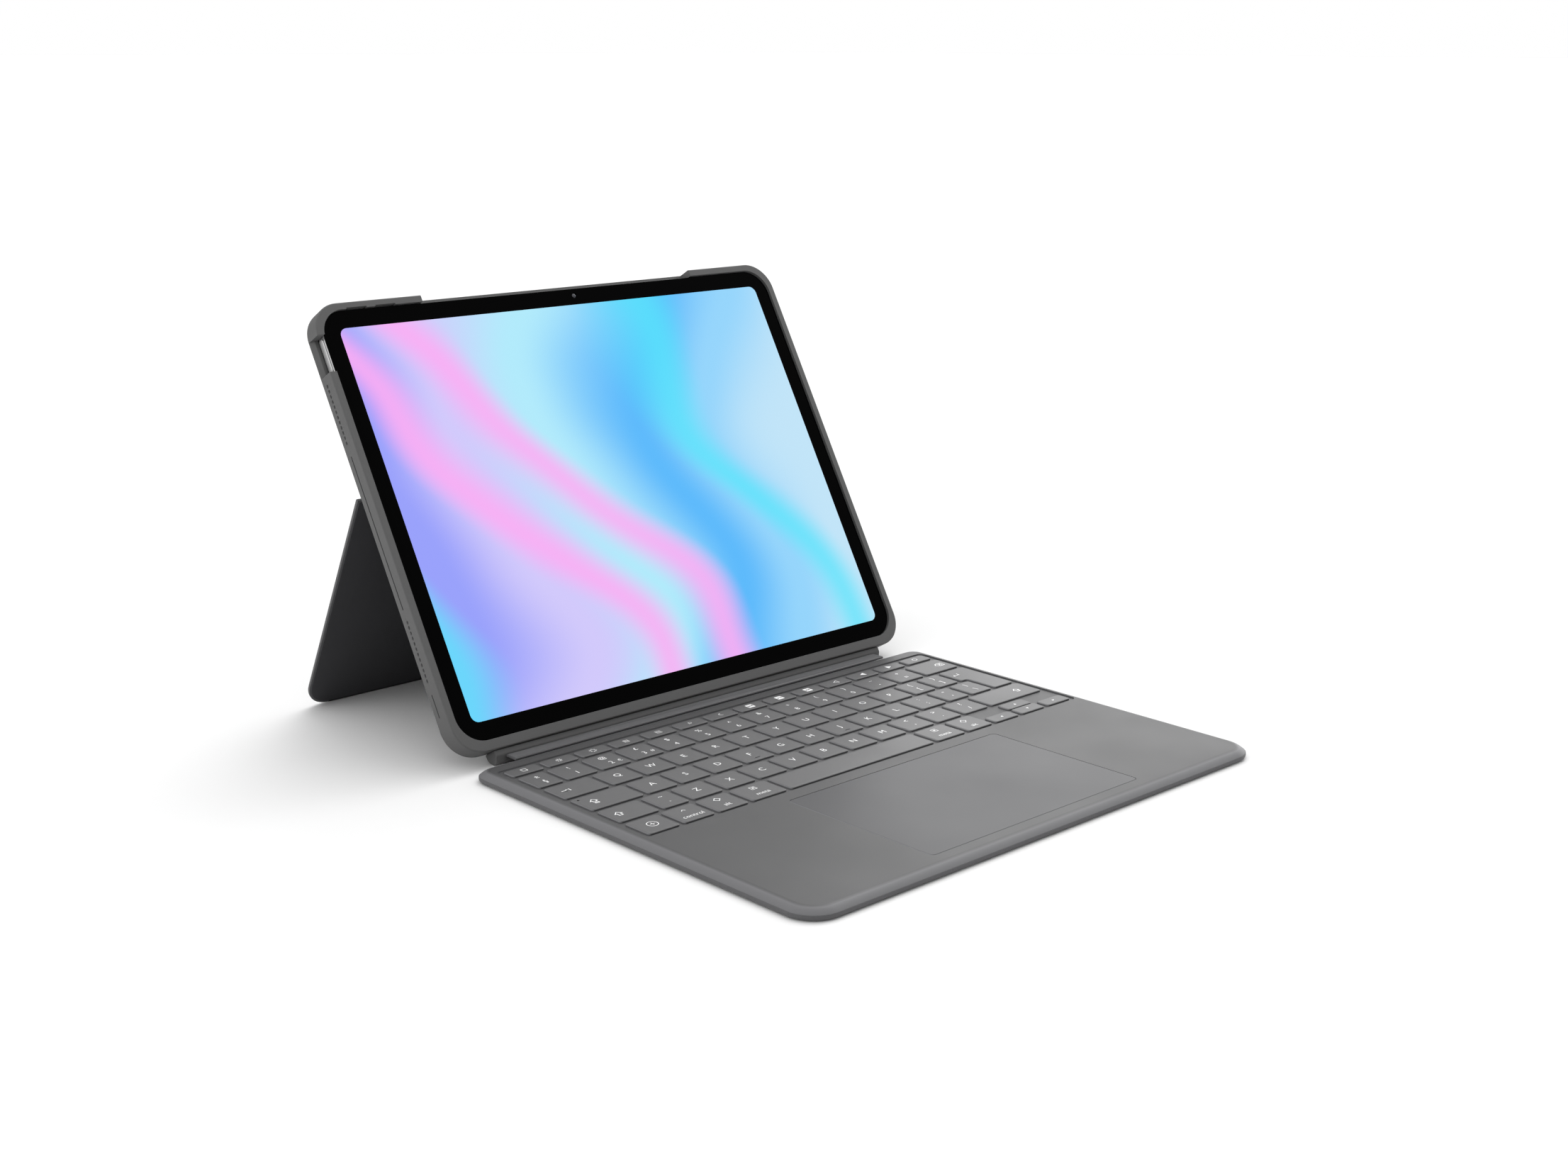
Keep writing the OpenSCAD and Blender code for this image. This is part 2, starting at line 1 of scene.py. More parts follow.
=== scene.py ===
# %% [markdown]
# # A tablet keyboard case
# The object is a soft grey case that holds a tablet, with a stand that folds out of its back and a thin
# keyboard that hangs on a magnetic bar. Its sizes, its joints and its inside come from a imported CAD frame.
# This script dresses that frame: every visible part gets a finely shaped mesh and a procedural finish.

import json
from math import cos, pi, radians, sin

import bmesh
import bpy
from mathutils import Matrix, Vector


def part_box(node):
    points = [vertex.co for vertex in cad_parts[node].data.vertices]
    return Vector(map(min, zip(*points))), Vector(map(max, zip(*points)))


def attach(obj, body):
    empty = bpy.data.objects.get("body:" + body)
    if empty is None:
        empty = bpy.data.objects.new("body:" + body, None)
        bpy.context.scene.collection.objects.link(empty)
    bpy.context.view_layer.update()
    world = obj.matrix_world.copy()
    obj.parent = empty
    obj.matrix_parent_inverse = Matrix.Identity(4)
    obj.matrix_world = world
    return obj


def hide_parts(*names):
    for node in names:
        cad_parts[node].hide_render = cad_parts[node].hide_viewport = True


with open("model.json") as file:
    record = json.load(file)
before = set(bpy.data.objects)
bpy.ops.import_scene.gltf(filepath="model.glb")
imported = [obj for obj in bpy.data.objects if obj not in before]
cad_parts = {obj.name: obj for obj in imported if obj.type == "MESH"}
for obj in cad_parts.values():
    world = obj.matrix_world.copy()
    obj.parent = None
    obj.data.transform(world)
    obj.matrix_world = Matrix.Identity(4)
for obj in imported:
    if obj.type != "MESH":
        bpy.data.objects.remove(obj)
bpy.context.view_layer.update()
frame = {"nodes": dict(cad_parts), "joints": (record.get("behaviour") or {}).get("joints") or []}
nodes = frame["nodes"]

# %% [markdown]
# ## Two work frames
# The keyboard lies flat, so its pieces are drawn where they stand. The case leans back, so its
# pieces are drawn lying down, with x across, v up the screen and n out of the glass, and one matrix stands
# them up at the end. The matrix comes from the display's box, so it follows the frame if the frame changes.

# %% The case's matrix
MM = 0.001
TILT = radians(60)
display_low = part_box("display_panel")[0]
DISPLAY_TOP, DISPLAY_BOTTOM = 0.75 * MM, 1.9 * MM
CASE = Matrix.Translation((
    0,
    display_low.y - DISPLAY_TOP * sin(TILT),
    display_low.z + DISPLAY_BOTTOM * cos(TILT),
)) @ Matrix.Rotation(TILT, 4, "X")
FLAT = Matrix.Identity(4)


def box_in(matrix, node):
    """A node's lowest and highest corners in a turned work frame."""
    back = matrix.inverted()
    points = [back @ v.co for v in nodes[node].data.vertices]
    return [Vector([pick(p[i] for p in points) for i in range(3)]) for pick in (min, max)]


case_low, case_high = box_in(CASE, "bumper_frame")
glass_low, glass_high = box_in(CASE, "tablet_glass")
print("case", [round(1000 * s, 1) for s in case_high - case_low], "mm")

# %% [markdown]
# ## The camera
# A product view is drawn with a long lens, a little above the table and well to the left. The camera stands
# at a fixed distance, and its axes are worked out from an azimuth and an elevation, as a surveyor would.

# %% Camera
AZIMUTH, ELEVATION, ROLL = radians(-43.141), radians(14.708), radians(0.141)
camera = bpy.data.objects.new("camera", bpy.data.cameras.new("camera"))
bpy.context.scene.collection.objects.link(camera)
LENS, SENSOR = 47.88, 36
camera.data.lens, camera.data.sensor_width, camera.data.clip_end = LENS, SENSOR, 100
back = Vector((sin(AZIMUTH) * cos(ELEVATION), -cos(AZIMUTH) * cos(ELEVATION), sin(ELEVATION)))
right = Vector((cos(AZIMUTH), sin(AZIMUTH), 0))
axes = Matrix((right, back.cross(right), back)).transposed().to_4x4()
CAMERA_PLACE = Vector((-0.6465, -0.70367, 0.32203))
camera.matrix_world = Matrix.Translation(CAMERA_PLACE) @ axes @ Matrix.Rotation(ROLL, 4, "Z")
bpy.context.scene.camera = camera
print("camera", [round(c, 2) for c in CAMERA_PLACE], "m")

# %% [markdown]
# ## Floor and light
# A white sweep is the plainest studio. The floor is one large sheet. The dome of light is dim at the horizon
# and a little dimmer in front. A glow low on its right draws a sheen over the deck that fades to the left,
# and the camera itself sees the dome as plain white. A very soft sun stands high on the right, behind the
# object, and a second one lights the case's left side.

# %% Floor
scene = bpy.context.scene
scene.view_settings.view_transform = "Standard"


def new_object(name, bm, material=None):
    """Links a bmesh as an object that sits at the origin."""
    mesh = bpy.data.meshes.new(name)
    bm.to_mesh(mesh)
    bm.free()
    piece = bpy.data.objects.new(name, mesh)
    scene.collection.objects.link(piece)
    if material:
        mesh.materials.append(material)
    return piece


FLOOR_SIZE = 40
bm = bmesh.new()
bmesh.ops.create_grid(bm, x_segments=1, y_segments=1, size=FLOOR_SIZE)
floor = new_object("floor", bm)
floor_paint = bpy.data.materials.new("floor_paint")
floor_paint.use_nodes = True
floor_shader = floor_paint.node_tree.nodes["Principled BSDF"]
floor_shader.inputs["Base Color"].default_value = (0.8, 0.8, 0.8, 1)
floor_shader.inputs["Roughness"].default_value = 0.9
floor_shader.inputs["Specular IOR Level"].default_value = 0.1
floor.data.materials.append(floor_paint)
print("floor", FLOOR_SIZE * 2, "m wide")

# %% Node helper
def add(tree, kind, links=(), **settings):
    """Adds a node, sets its properties or sockets by name, and links (output, socket name) pairs to it."""
    made = tree.nodes.new("ShaderNode" + kind)
    for key, value in settings.items():
        if hasattr(made, key):
            setattr(made, key, value)
        else:
            made.inputs[key.replace("_", " ")].default_value = value
    for output, socket in links:
        tree.links.new(output, made.inputs[socket])
    return made


print("node helper ready")

# %% Lights
HORIZON, ZENITH, DARKEST, GLOW = 0.25, 1.08, 0.85, 2.6
FRONT, GLOW_SIDE = (0.62, -0.68, 0.4), (0.95, 0.35, 0.22)
FRONT_RANGE, HEIGHT_RANGE, GLOW_RANGE = (0.2, 0.97), (0.0, 0.75), (0.7, 1.0)
world = bpy.data.worlds.new("dome")
scene.world = world
world.use_nodes = True
tree = world.node_tree
where = add(tree, "TexCoord")
height = add(tree, "SeparateXYZ", [(where.outputs["Generated"], 0)])


def towards(direction):
    """How closely a point of the dome lies towards a direction, from -1 to 1."""
    aim = add(tree, "VectorMath", [(where.outputs["Generated"], 0)], operation="DOT_PRODUCT")
    aim.inputs[1].default_value = Vector(direction).normalized()
    return aim.outputs["Value"]


def soft_step(source, reach, start, end):
    """Fades smoothly from start to end while a value goes over its reach."""
    step = add(tree, "MapRange", [(source, "Value")], interpolation_type="SMOOTHSTEP",
               From_Min=reach[0], From_Max=reach[1], To_Min=start, To_Max=end)
    return step.outputs["Result"]


shade = add(tree, "Math", [
    (soft_step(towards(FRONT), FRONT_RANGE, 1.0, DARKEST), 0),
    (soft_step(height.outputs["Z"], HEIGHT_RANGE, HORIZON, ZENITH), 1),
    (soft_step(towards(GLOW_SIDE), GLOW_RANGE, 0.0, GLOW), 2)], operation="MULTIPLY_ADD")
path = add(tree, "LightPath")
sweep = add(tree, "Mix", [(path.outputs["Is Camera Ray"], "Factor"), (shade.outputs["Value"], 2)],
            data_type="FLOAT")
sweep.inputs[3].default_value = 1.0
tree.nodes["Background"].inputs["Color"].default_value = (1, 1, 1, 1)
tree.links.new(sweep.outputs[0], tree.nodes["Background"].inputs["Strength"])


def soft_sun(name, energy, spread, place):
    """A sun with a wide face, so that its shadows have no edge."""
    sun = bpy.data.objects.new(name, bpy.data.lights.new(name, "SUN"))
    scene.collection.objects.link(sun)
    sun.data.energy, sun.data.angle = energy, radians(spread)
    sun.rotation_euler = Vector(place).to_track_quat("Z", "Y").to_euler()


soft_sun("sun", 0.9, 50, (0.5, 0.3, 0.9))
soft_sun("side_light", 0.8, 50, (-1.0, 0.25, 0.2))
print("dome and suns")

# %% [markdown]
# ## Shared effects
# Real moulded plastic is never one flat colour. A fine grain breaks up its gloss, and handling leaves broad,
# faint clouds. Cloth needs crossing threads. Each of these is a node group, built once and placed in each
# material with its own values. A group gives only values, and the shader stays in the material.

# %% Node group helpers
def new_group(name, inputs, outputs):
    """A node group whose sockets are made from (name, kind, value) rows."""
    group = bpy.data.node_groups.new(name, "ShaderNodeTree")
    for label, kind, value in inputs:
        socket = group.interface.new_socket(label, in_out="INPUT", socket_type=kind)
        if value is not None:
            socket.default_value = value
    for label in outputs:
        group.interface.new_socket(label, in_out="OUTPUT", socket_type="NodeSocketFloat")
    ends = group.nodes.new("NodeGroupInput"), group.nodes.new("NodeGroupOutput")
    return group, ends[0], ends[1]


print("group helper ready")

# %% Grain
grain, came, goes = new_group("fine_grain", [
    ("Vector", "NodeSocketVector", None), ("Scale", "NodeSocketFloat", 2500.0)], ["Height", "Cloud"])
pores = add(grain, "TexVoronoi", [(came.outputs["Vector"], "Vector"), (came.outputs["Scale"], "Scale")])
fine = add(grain, "TexNoise", [(came.outputs["Vector"], "Vector"), (came.outputs["Scale"], "Scale")],
           Detail=2.0, Roughness=0.6)
height = add(grain, "Math", [(pores.outputs["Distance"], 0), (fine.outputs["Fac"], 1)], operation="ADD")
cloud = add(grain, "TexNoise", [(came.outputs["Vector"], "Vector")], Scale=14.0, Detail=3.0, Roughness=0.55)
grain.links.new(height.outputs["Value"], goes.inputs["Height"])
grain.links.new(cloud.outputs["Fac"], goes.inputs["Cloud"])
print("group", grain.name)

# %% Weave
weave, came, goes = new_group("weave", [
    ("Vector", "NodeSocketVector", None), ("Threads", "NodeSocketFloat", 500.0)], ["Height", "Fibre"])
warp, weft = [add(weave, "TexWave", [(came.outputs["Vector"], "Vector"), (came.outputs["Threads"], "Scale")],
                  bands_direction=direction, Distortion=0.6, Detail=1.0) for direction in "XY"]
crossing = add(weave, "Math", [(warp.outputs["Fac"], 0), (weft.outputs["Fac"], 1)], operation="MAXIMUM")
fibre = add(weave, "TexNoise", [(came.outputs["Vector"], "Vector")], Scale=900.0, Detail=4.0, Roughness=0.7)
weave.links.new(crossing.outputs["Value"], goes.inputs["Height"])
weave.links.new(fibre.outputs["Fac"], goes.inputs["Fibre"])
print("group", weave.name)

# %% [markdown]
# ## Finishes
# One function makes every finish from a short row of numbers: two close tones that the clouds or fibres mix,
# a roughness that wanders between two values, and a bump whose height comes from the grain or the weave.
# Cloth has a little sheen too. Some finishes get a painted highlight: where the surface turns a chosen way,
# its tone is made paler, which stands in for light catching that edge.

# %% Material functions
def lay_over(tree, mask, below, colour):
    """Lays one colour over what is below, as far as the mask says."""
    mix = add(tree, "Mix", [(mask, "Factor"), (below, 6)], data_type="RGBA")
    mix.inputs[7].default_value = (*colour, 1)
    return mix.outputs[2]


FIBRE_LOW, FIBRE_HIGH, BUMP_DEEP = 0.3, 0.7, 0.0001


def make_finish(name, tones, roughness, effect=grain, scale=2500.0, bump=0.1, turn=0.0, painted_highlight=None,
                **sockets):
    """Two tones, two roughness values, a bump from a shared effect and, if asked, a painted highlight."""
    material = bpy.data.materials.new(name)
    material.use_nodes = True
    tree = material.node_tree
    shader = tree.nodes["Principled BSDF"]
    where = add(tree, "TexCoord")
    turned = add(tree, "Mapping", [(where.outputs["Object"], "Vector")])
    turned.inputs["Rotation"].default_value[0] = -turn
    group = tree.nodes.new("ShaderNodeGroup")
    group.node_tree = effect
    tree.links.new(turned.outputs["Vector"], group.inputs["Vector"])
    group.inputs[1].default_value = scale
    mask = group.outputs[1]
    steps = add(tree, "MapRange", [(mask, "Value")], From_Min=FIBRE_LOW, From_Max=FIBRE_HIGH,
                To_Min=0.0, To_Max=1.0)
    mix = add(tree, "Mix", [(steps.outputs["Result"], "Factor")], data_type="RGBA")
    for socket, tone in zip((6, 7), tones):
        mix.inputs[socket].default_value = (*tone, 1)
    rough = add(tree, "MapRange", [(mask, "Value")], From_Min=FIBRE_LOW, From_Max=FIBRE_HIGH,
                To_Min=roughness[0], To_Max=roughness[1])
    relief = add(tree, "Bump", [(group.outputs["Height"], "Height")], Strength=bump, Distance=BUMP_DEEP)
    tone = mix.outputs[2]
    # A painted highlight: where the normal faces a given direction, the tone is made paler by a gain,
    # standing in for light caught there.
    if painted_highlight:
        direction, start, full, gain = painted_highlight
        facing = add(tree, "VectorMath", [(where.outputs["Normal"], 0)], operation="DOT_PRODUCT")
        facing.inputs[1].default_value = direction
        highlight_mask = add(tree, "MapRange", [(facing.outputs["Value"], "Value")], From_Min=start, From_Max=full)
        tone = lay_over(tree, highlight_mask.outputs["Result"], tone, [gain * c for c in tones[1]])
    tree.links.new(tone, shader.inputs["Base Color"])
    tree.links.new(rough.outputs["Result"], shader.inputs["Roughness"])
    tree.links.new(relief.outputs["Normal"], shader.inputs["Normal"])
    for key, value in sockets.items():
        shader.inputs[key.replace("_", " ")].default_value = value
    return material


def grey(level, blue=1.04):
    """A nearly neutral tone with a touch of blue."""
    return (level, level, level * blue)


# %% The object's finishes
# Painted highlights: the deck is paler wherever it slopes away from flat, as on its rolled rim, and the caps
# and the trackpad are paler on their left sides, where light catches them.
RIM_HIGHLIGHT, LEFT_HIGHLIGHT = ((0, 0, 1), 0.997, 0.93), ((-1, 0, 0), 0.2, 0.6)
deck_finish = make_finish("deck_soft_touch", (grey(0.04), grey(0.044)), (0.42, 0.5), bump=0.12,
                          painted_highlight=(*RIM_HIGHLIGHT, 3.4), Specular_IOR_Level=0.26)
flap_finish = make_finish("flap_skin", (grey(0.09), grey(0.096)), (0.42, 0.5), bump=0.12)
shell_finish = make_finish("case_soft_touch", (grey(0.086, 1.0), grey(0.094, 1.0)), (0.5, 0.6), bump=0.15)
key_finish = make_finish("keycap_plastic", (grey(0.052), grey(0.057)), (0.4, 0.48), scale=4000.0, bump=0.08,
                         painted_highlight=(*LEFT_HIGHLIGHT, 3.0), Specular_IOR_Level=0.42)
pad_finish = make_finish("trackpad_glass", (grey(0.046, 1.08), grey(0.05, 1.08)), (0.36, 0.42), scale=6000.0,
                         bump=0.03, painted_highlight=(*LEFT_HIGHLIGHT, 5.0), Specular_IOR_Level=0.16)
legend_finish = make_finish("legend_print", (grey(0.85, 1.0), grey(0.9, 1.0)), (0.4, 0.5), bump=0.02)
cover_finish = make_finish("cover_fabric", (grey(0.07), grey(0.09)), (0.6, 0.75), effect=weave, scale=420.0,
                           bump=0.3, Sheen_Weight=0.15)
back_finish = make_finish("back_fabric_finish", (grey(0.085), grey(0.115)), (0.6, 0.75), effect=weave,
                          scale=420.0, bump=0.35, turn=TILT, Sheen_Weight=0.15)
dark_finish = make_finish("dark_panel", (grey(0.03, 1.12), grey(0.035, 1.12)), (0.45, 0.55), bump=0.12)
rubber_finish = make_finish("foot_rubber", (grey(0.012), grey(0.018)), (0.7, 0.85), bump=0.2)
glass_finish = make_finish("black_glass", (grey(0.0006), grey(0.0008)), (0.04, 0.07), bump=0.0,
                           Specular_IOR_Level=0.02)
silver_finish = make_finish("tablet_aluminium", (grey(0.55, 1.0), grey(0.6, 1.0)), (0.28, 0.36), scale=5000.0,
                            bump=0.05, Metallic=0.9)
steel_finish = make_finish("steel", (grey(0.45, 1.0), grey(0.5, 1.0)), (0.25, 0.35), scale=900.0, bump=0.05,
                           Metallic=1.0)
magnet_finish = make_finish("magnet_nickel", (grey(0.5, 0.98), grey(0.56, 0.98)), (0.15, 0.25), bump=0.02,
                            Metallic=1.0)
gold_finish = make_finish("gold_contact", ((0.72, 0.48, 0.16), (0.8, 0.55, 0.2)), (0.2, 0.3), bump=0.02,
                          Metallic=1.0)
board_finish = make_finish("circuit_board", ((0.01, 0.09, 0.045), (0.014, 0.12, 0.06)), (0.35, 0.5),
                           scale=700.0)
flex_finish = make_finish("flex_circuit", ((0.4, 0.17, 0.03), (0.48, 0.22, 0.05)), (0.35, 0.45), scale=500.0)
dome_finish = make_finish("dome_rubber", (grey(0.55, 0.97), grey(0.62, 0.97)), (0.5, 0.6))
white_finish = make_finish("white_plastic", (grey(0.68, 1.0), grey(0.74, 1.0)), (0.35, 0.45))
lining_finish = make_finish("microfibre", (grey(0.055), grey(0.075)), (0.85, 0.95), effect=weave, scale=700.0,
                             bump=0.4, turn=TILT, Sheen_Weight=0.4)
battery_finish = make_finish("battery_wrap", (grey(0.02), grey(0.028)), (0.3, 0.45), scale=300.0, bump=0.2)
lens_finish = make_finish("lens_glass", ((0.004, 0.006, 0.016), (0.006, 0.009, 0.024)), (0.02, 0.05),
                          bump=0.0, Coat_Weight=1.0)
print(len(bpy.data.materials), "materials")

# %% [markdown]
# ## Finishes for the parts that keep their CAD shape
# The inside of the object is only seen when it is taken apart. Those parts are already the right shape, so
# they keep it and only get their finish. The other nodes are replaced below by finer pieces.

# %% Give each CAD node its finish
NODE_FINISH = {
    steel_finish: ["key_support_plate", "hinge_leaves", "hinge_pins"],
    magnet_finish: ["closing_magnets", "bar_magnets", "case_magnets"],
    gold_finish: ["pogo_pins", "case_contacts", "trackpad_click_switch"],
    board_finish: ["keyboard_circuit_board", "trackpad_circuit_board", "tablet_logic_board",
                   "switch_membrane"],
    flex_finish: ["contact_flex"],
    dome_finish: ["rubber_domes"],
    white_finish: ["scissor_frames", "backlight_guide"],
    dark_finish: ["case_back_shell", "pogo_block"],
    lining_finish: ["microfibre_lining"],
    battery_finish: ["tablet_battery"],
    silver_finish: ["volume_buttons"],
}
for material, names in NODE_FINISH.items():
    for name in names:
        nodes[name].data.materials.clear()
        nodes[name].data.materials.append(material)
print(sum(len(names) for names in NODE_FINISH.values()), "nodes painted")

# %% [markdown]
# ## Making plates
# Nearly every part of this object is a thin plate with round corners and softened edges. A plate starts as
# one square face, its four corners are bevelled into arcs, and then the face is lifted and inset in small
# steps. Each step is one ring of the edge, so any edge profile can be made, from a soft roll to a chamfer.

# %% Plate helpers
def outline_face(bm, points, z, radii, segments=8):
    """One flat face from a few corners, which are then bevelled into arcs. radii is one radius or a list."""
    corners = [bm.verts.new((x, y, z)) for x, y in points]
    face = bm.faces.new(corners)
    face.normal_update()
    radii = radii if isinstance(radii, list) else [radii] * len(points)
    for radius in sorted(set(radii) - {0}):
        chosen = [corner for corner, r in zip(corners, radii) if r == radius]
        made = bmesh.ops.bevel(bm, geom=chosen, offset=radius, offset_type="OFFSET", segments=segments,
                               profile=0.5, affect="VERTICES", material=-1)
        face = made["verts"][0].link_faces[0]
    return face


def rectangle(x0, x1, y0, y1):
    return [(x0, y0), (x1, y0), (x1, y1), (x0, y1)]


def around(low, high, gap=0):
    """The outline of a box seen from above, grown by a gap."""
    return rectangle(low.x - gap, high.x + gap, low.y - gap, high.y + gap)


def span(low, high, gap):
    """The range of a box from left to right, grown by a gap."""
    return low.x - gap, high.x + gap


def build_up(bm, face, steps):
    """Moves a face through (inset, rise) steps. Each step leaves one ring of wall behind."""
    for inset, rise in steps:
        bmesh.ops.inset_region(bm, faces=[face], thickness=inset, depth=rise,
                               use_boundary=True, use_even_offset=True)


def roll(width, rise, count=5):
    """Steps that turn a wall over into a face along a quarter of an ellipse."""
    arc = [(1 - cos(pi / 2 * k / count), sin(pi / 2 * k / count)) for k in range(count + 1)]
    return [(width * (b[0] - a[0]), rise * (b[1] - a[1])) for a, b in zip(arc, arc[1:])]


def wall(rise):
    return [(0, rise)]


def plate(bm, points, z, radii, up=(), down=(), segments=8):
    """A closed plate: one face goes up and its twin goes down from the same outline."""
    for steps in (up, down):
        build_up(bm, outline_face(bm, points, z, radii, segments), steps)


def closed(bm, name, material=None, matrix=FLAT):
    """Joins what touches, turns the faces outwards, puts the shape in its place and links it."""
    bmesh.ops.remove_doubles(bm, verts=bm.verts, dist=1e-6)
    bmesh.ops.recalc_face_normals(bm, faces=bm.faces)
    bm.transform(matrix)
    return new_object(name, bm, material)


def apply_modifiers(piece):
    shape = bpy.data.meshes.new_from_object(piece.evaluated_get(bpy.context.evaluated_depsgraph_get()))
    piece.modifiers.clear()
    piece.data = shape


def carve(piece, cutter):
    """Cuts one closed shape, or several in one mesh, out of a piece."""
    cut = piece.modifiers.new("cut", "BOOLEAN")
    cut.operation, cut.solver, cut.object = "DIFFERENCE", "EXACT", cutter
    apply_modifiers(piece)
    bpy.data.objects.remove(cutter)


def soften(piece, width, segments=2, angle=35):
    """Rounds the sharp edges a little, so that they catch the light, and smooths the rest."""
    bevel = piece.modifiers.new("edges", "BEVEL")
    bevel.width, bevel.segments = width, segments
    bevel.limit_method, bevel.angle_limit = "ANGLE", radians(angle)
    bevel.use_clamp_overlap = True
    apply_modifiers(piece)
    smooth(piece, angle)


def smooth(piece, angle=35):
    """Smooths all but the sharp edges, and keeps the shading of wide flat faces flat."""
    piece.data.shade_smooth()
    piece.data.set_sharp_from_angle(angle=radians(angle))
    weigh = piece.modifiers.new("normals", "WEIGHTED_NORMAL")
    weigh.keep_sharp, weigh.weight = True, 100
    apply_modifiers(piece)


def keep(piece, body, slot, *replaced):
    """Ties a finished piece to its body and hides the CAD nodes it stands for. The slot is not used."""
    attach(piece, body)
    if replaced:
        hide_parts(*replaced)
    print(piece.name, len(piece.data.polygons), "faces")
    return piece


def finish_piece(bm, name, material, body, slot, *replaced, matrix=FLAT, angle=50):
    """Closes, places, smooths and keeps a piece that needs no cutting."""
    piece = closed(bm, name, material, matrix)
    smooth(piece, angle)
    return keep(piece, body, slot, *replaced)


def block(bm, x, y, z):
    """A plain cutter, given by its ranges."""
    build_up(bm, outline_face(bm, rectangle(*x, *y), z[0], 0), wall(z[1] - z[0]))
    bmesh.ops.holes_fill(bm, edges=[e for e in bm.edges if e.is_boundary], sides=0)


print("plate helpers ready")

# %% [markdown]
# ## The keyboard's two shells
# The deck is one thin lid. Its rim falls off gently, as moulded parts that meet the hand do. The well for
# the keys and the window for the trackpad are cut with a boolean, because a cut leaves crisp corners that a
# small bevel can then soften. The bottom cover stands out a little below the deck, which draws a fine line
# all round, and its lower edge curves under, so that the keyboard seems to float.

# %% Deck
deck_low, deck_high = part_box("keyboard_top_deck")
well_low, well_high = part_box("key_frame")
pad_low, pad_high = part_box("trackpad_plate")
flap_low, flap_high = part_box("hinge_flap")
FRONT_CORNER, REAR_CORNER, LEDGE, SEAM, CROWN = 14.5 * MM, 9 * MM, 0.35 * MM, 0.04 * MM, 5 * MM


def keyboard_outline(inset):
    return around(deck_low, deck_high, -inset)


def keyboard_corners(inset):
    return [FRONT_CORNER - inset] * 2 + [REAR_CORNER - inset] * 2


def crown(width, rise, count=9):
    """Steps that lift an edge along a parabola, which starts as a slope and ends flat."""
    arc = [1 - (1 - k / count) ** 2 for k in range(count + 1)]
    return [(width / count, rise * (b - a)) for a, b in zip(arc, arc[1:])]


bm = bmesh.new()
plate(bm, keyboard_outline(LEDGE), deck_low.z + SEAM, keyboard_corners(LEDGE), segments=14,
      up=crown(CROWN, deck_high.z - deck_low.z - SEAM), down=roll(SEAM, -SEAM, 2))
deck = closed(bm, "deck", deck_finish)

cutter = bmesh.new()
WELL_CORNER, PAD_CORNER, PAD_GAP, FLAP_SIDE, FLAP_FRONT = 3 * MM, 2.6 * MM, 0.12 * MM, 0.5 * MM, 0.3 * MM
through = deck_high.z - deck_low.z + 2 * MM
below = deck_low.z - MM
plate(cutter, around(well_low, well_high), below, WELL_CORNER, up=wall(through))
plate(cutter, around(pad_low, pad_high, PAD_GAP), below, PAD_CORNER, up=wall(through))
plate(cutter, rectangle(*span(flap_low, flap_high, FLAP_SIDE), flap_low.y - FLAP_FRONT, deck_high.y + MM),
      below, 0, up=wall(through))
carve(deck, closed(cutter, "deck_cutter"))
soften(deck, 0.25 * MM)
keep(deck, "keyboard", "shell", "keyboard_top_deck")

# %% Bottom cover
cover_low, cover_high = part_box("keyboard_bottom_cover")
COVER_WALL, CORNER_IN, COVER_FLOOR = 6 * MM, 9 * MM, 0.8 * MM
BAND_LOW, COVER_ROLL, LIP = 1.5 * MM, 3 * MM, 0.3 * MM
bm = bmesh.new()
plate(bm, keyboard_outline(0), deck_low.z - LIP, keyboard_corners(0), segments=14, up=roll(LIP, LIP, 3),
      down=wall(-(deck_low.z - LIP - BAND_LOW)) + roll(COVER_ROLL, -BAND_LOW, 6))
bottom = closed(bm, "bottom_cover", cover_finish)
cutter = bmesh.new()
plate(cutter, around(cover_low, cover_high, -COVER_WALL), COVER_FLOOR, CORNER_IN, up=wall(10 * MM))
carve(bottom, closed(cutter, "cover_cutter"))
smooth(bottom, 40)
keep(bottom, "keyboard", "skin", "keyboard_bottom_cover")

# %% [markdown]
# ## Trackpad
# The trackpad is one glass-smooth plate with a narrow gap all round, so that it can click down a little.

# %% Trackpad
PAD_ROUND, PAD_EDGE, PAD_DROP = 2.5 * MM, 0.4 * MM, 0.3 * MM
bm = bmesh.new()
plate(bm, around(pad_low, pad_high), pad_low.z, PAD_ROUND,
      up=wall(pad_high.z - pad_low.z - PAD_DROP) + roll(PAD_EDGE, PAD_DROP, 3))
finish_piece(bm, "trackpad_surface", pad_finish, "trackpad", "trackpad_surface", "trackpad_plate")

# %% [markdown]
# ## Keycaps
# Each cap is a low tile: straight walls, a soft roll at its top edge, and a hollow underneath for the
# scissor frame. Their places are not typed again here. Each CAD node holds its caps as separate solids, so
# the script walks over each solid's edges and takes its box.

# %% Find the caps
def solids_in(node):
    """The box of each separate solid of a node, from left to right."""
    bm = bmesh.new()
    bm.from_mesh(nodes[node].data)
    bmesh.ops.remove_doubles(bm, verts=bm.verts, dist=1e-6)
    left, boxes = set(bm.verts), []
    while left:
        waiting, part = [left.pop()], []
        while waiting:
            vert = waiting.pop()
            part.append(vert.co)
            near = [edge.other_vert(vert) for edge in vert.link_edges]
            waiting += [other for other in near if other in left]
            left.difference_update(near)
        boxes.append([Vector([pick(co[i] for co in part) for i in range(3)]) for pick in (min, max)])
    bm.free()
    return sorted(boxes, key=lambda corners: corners[0].x)


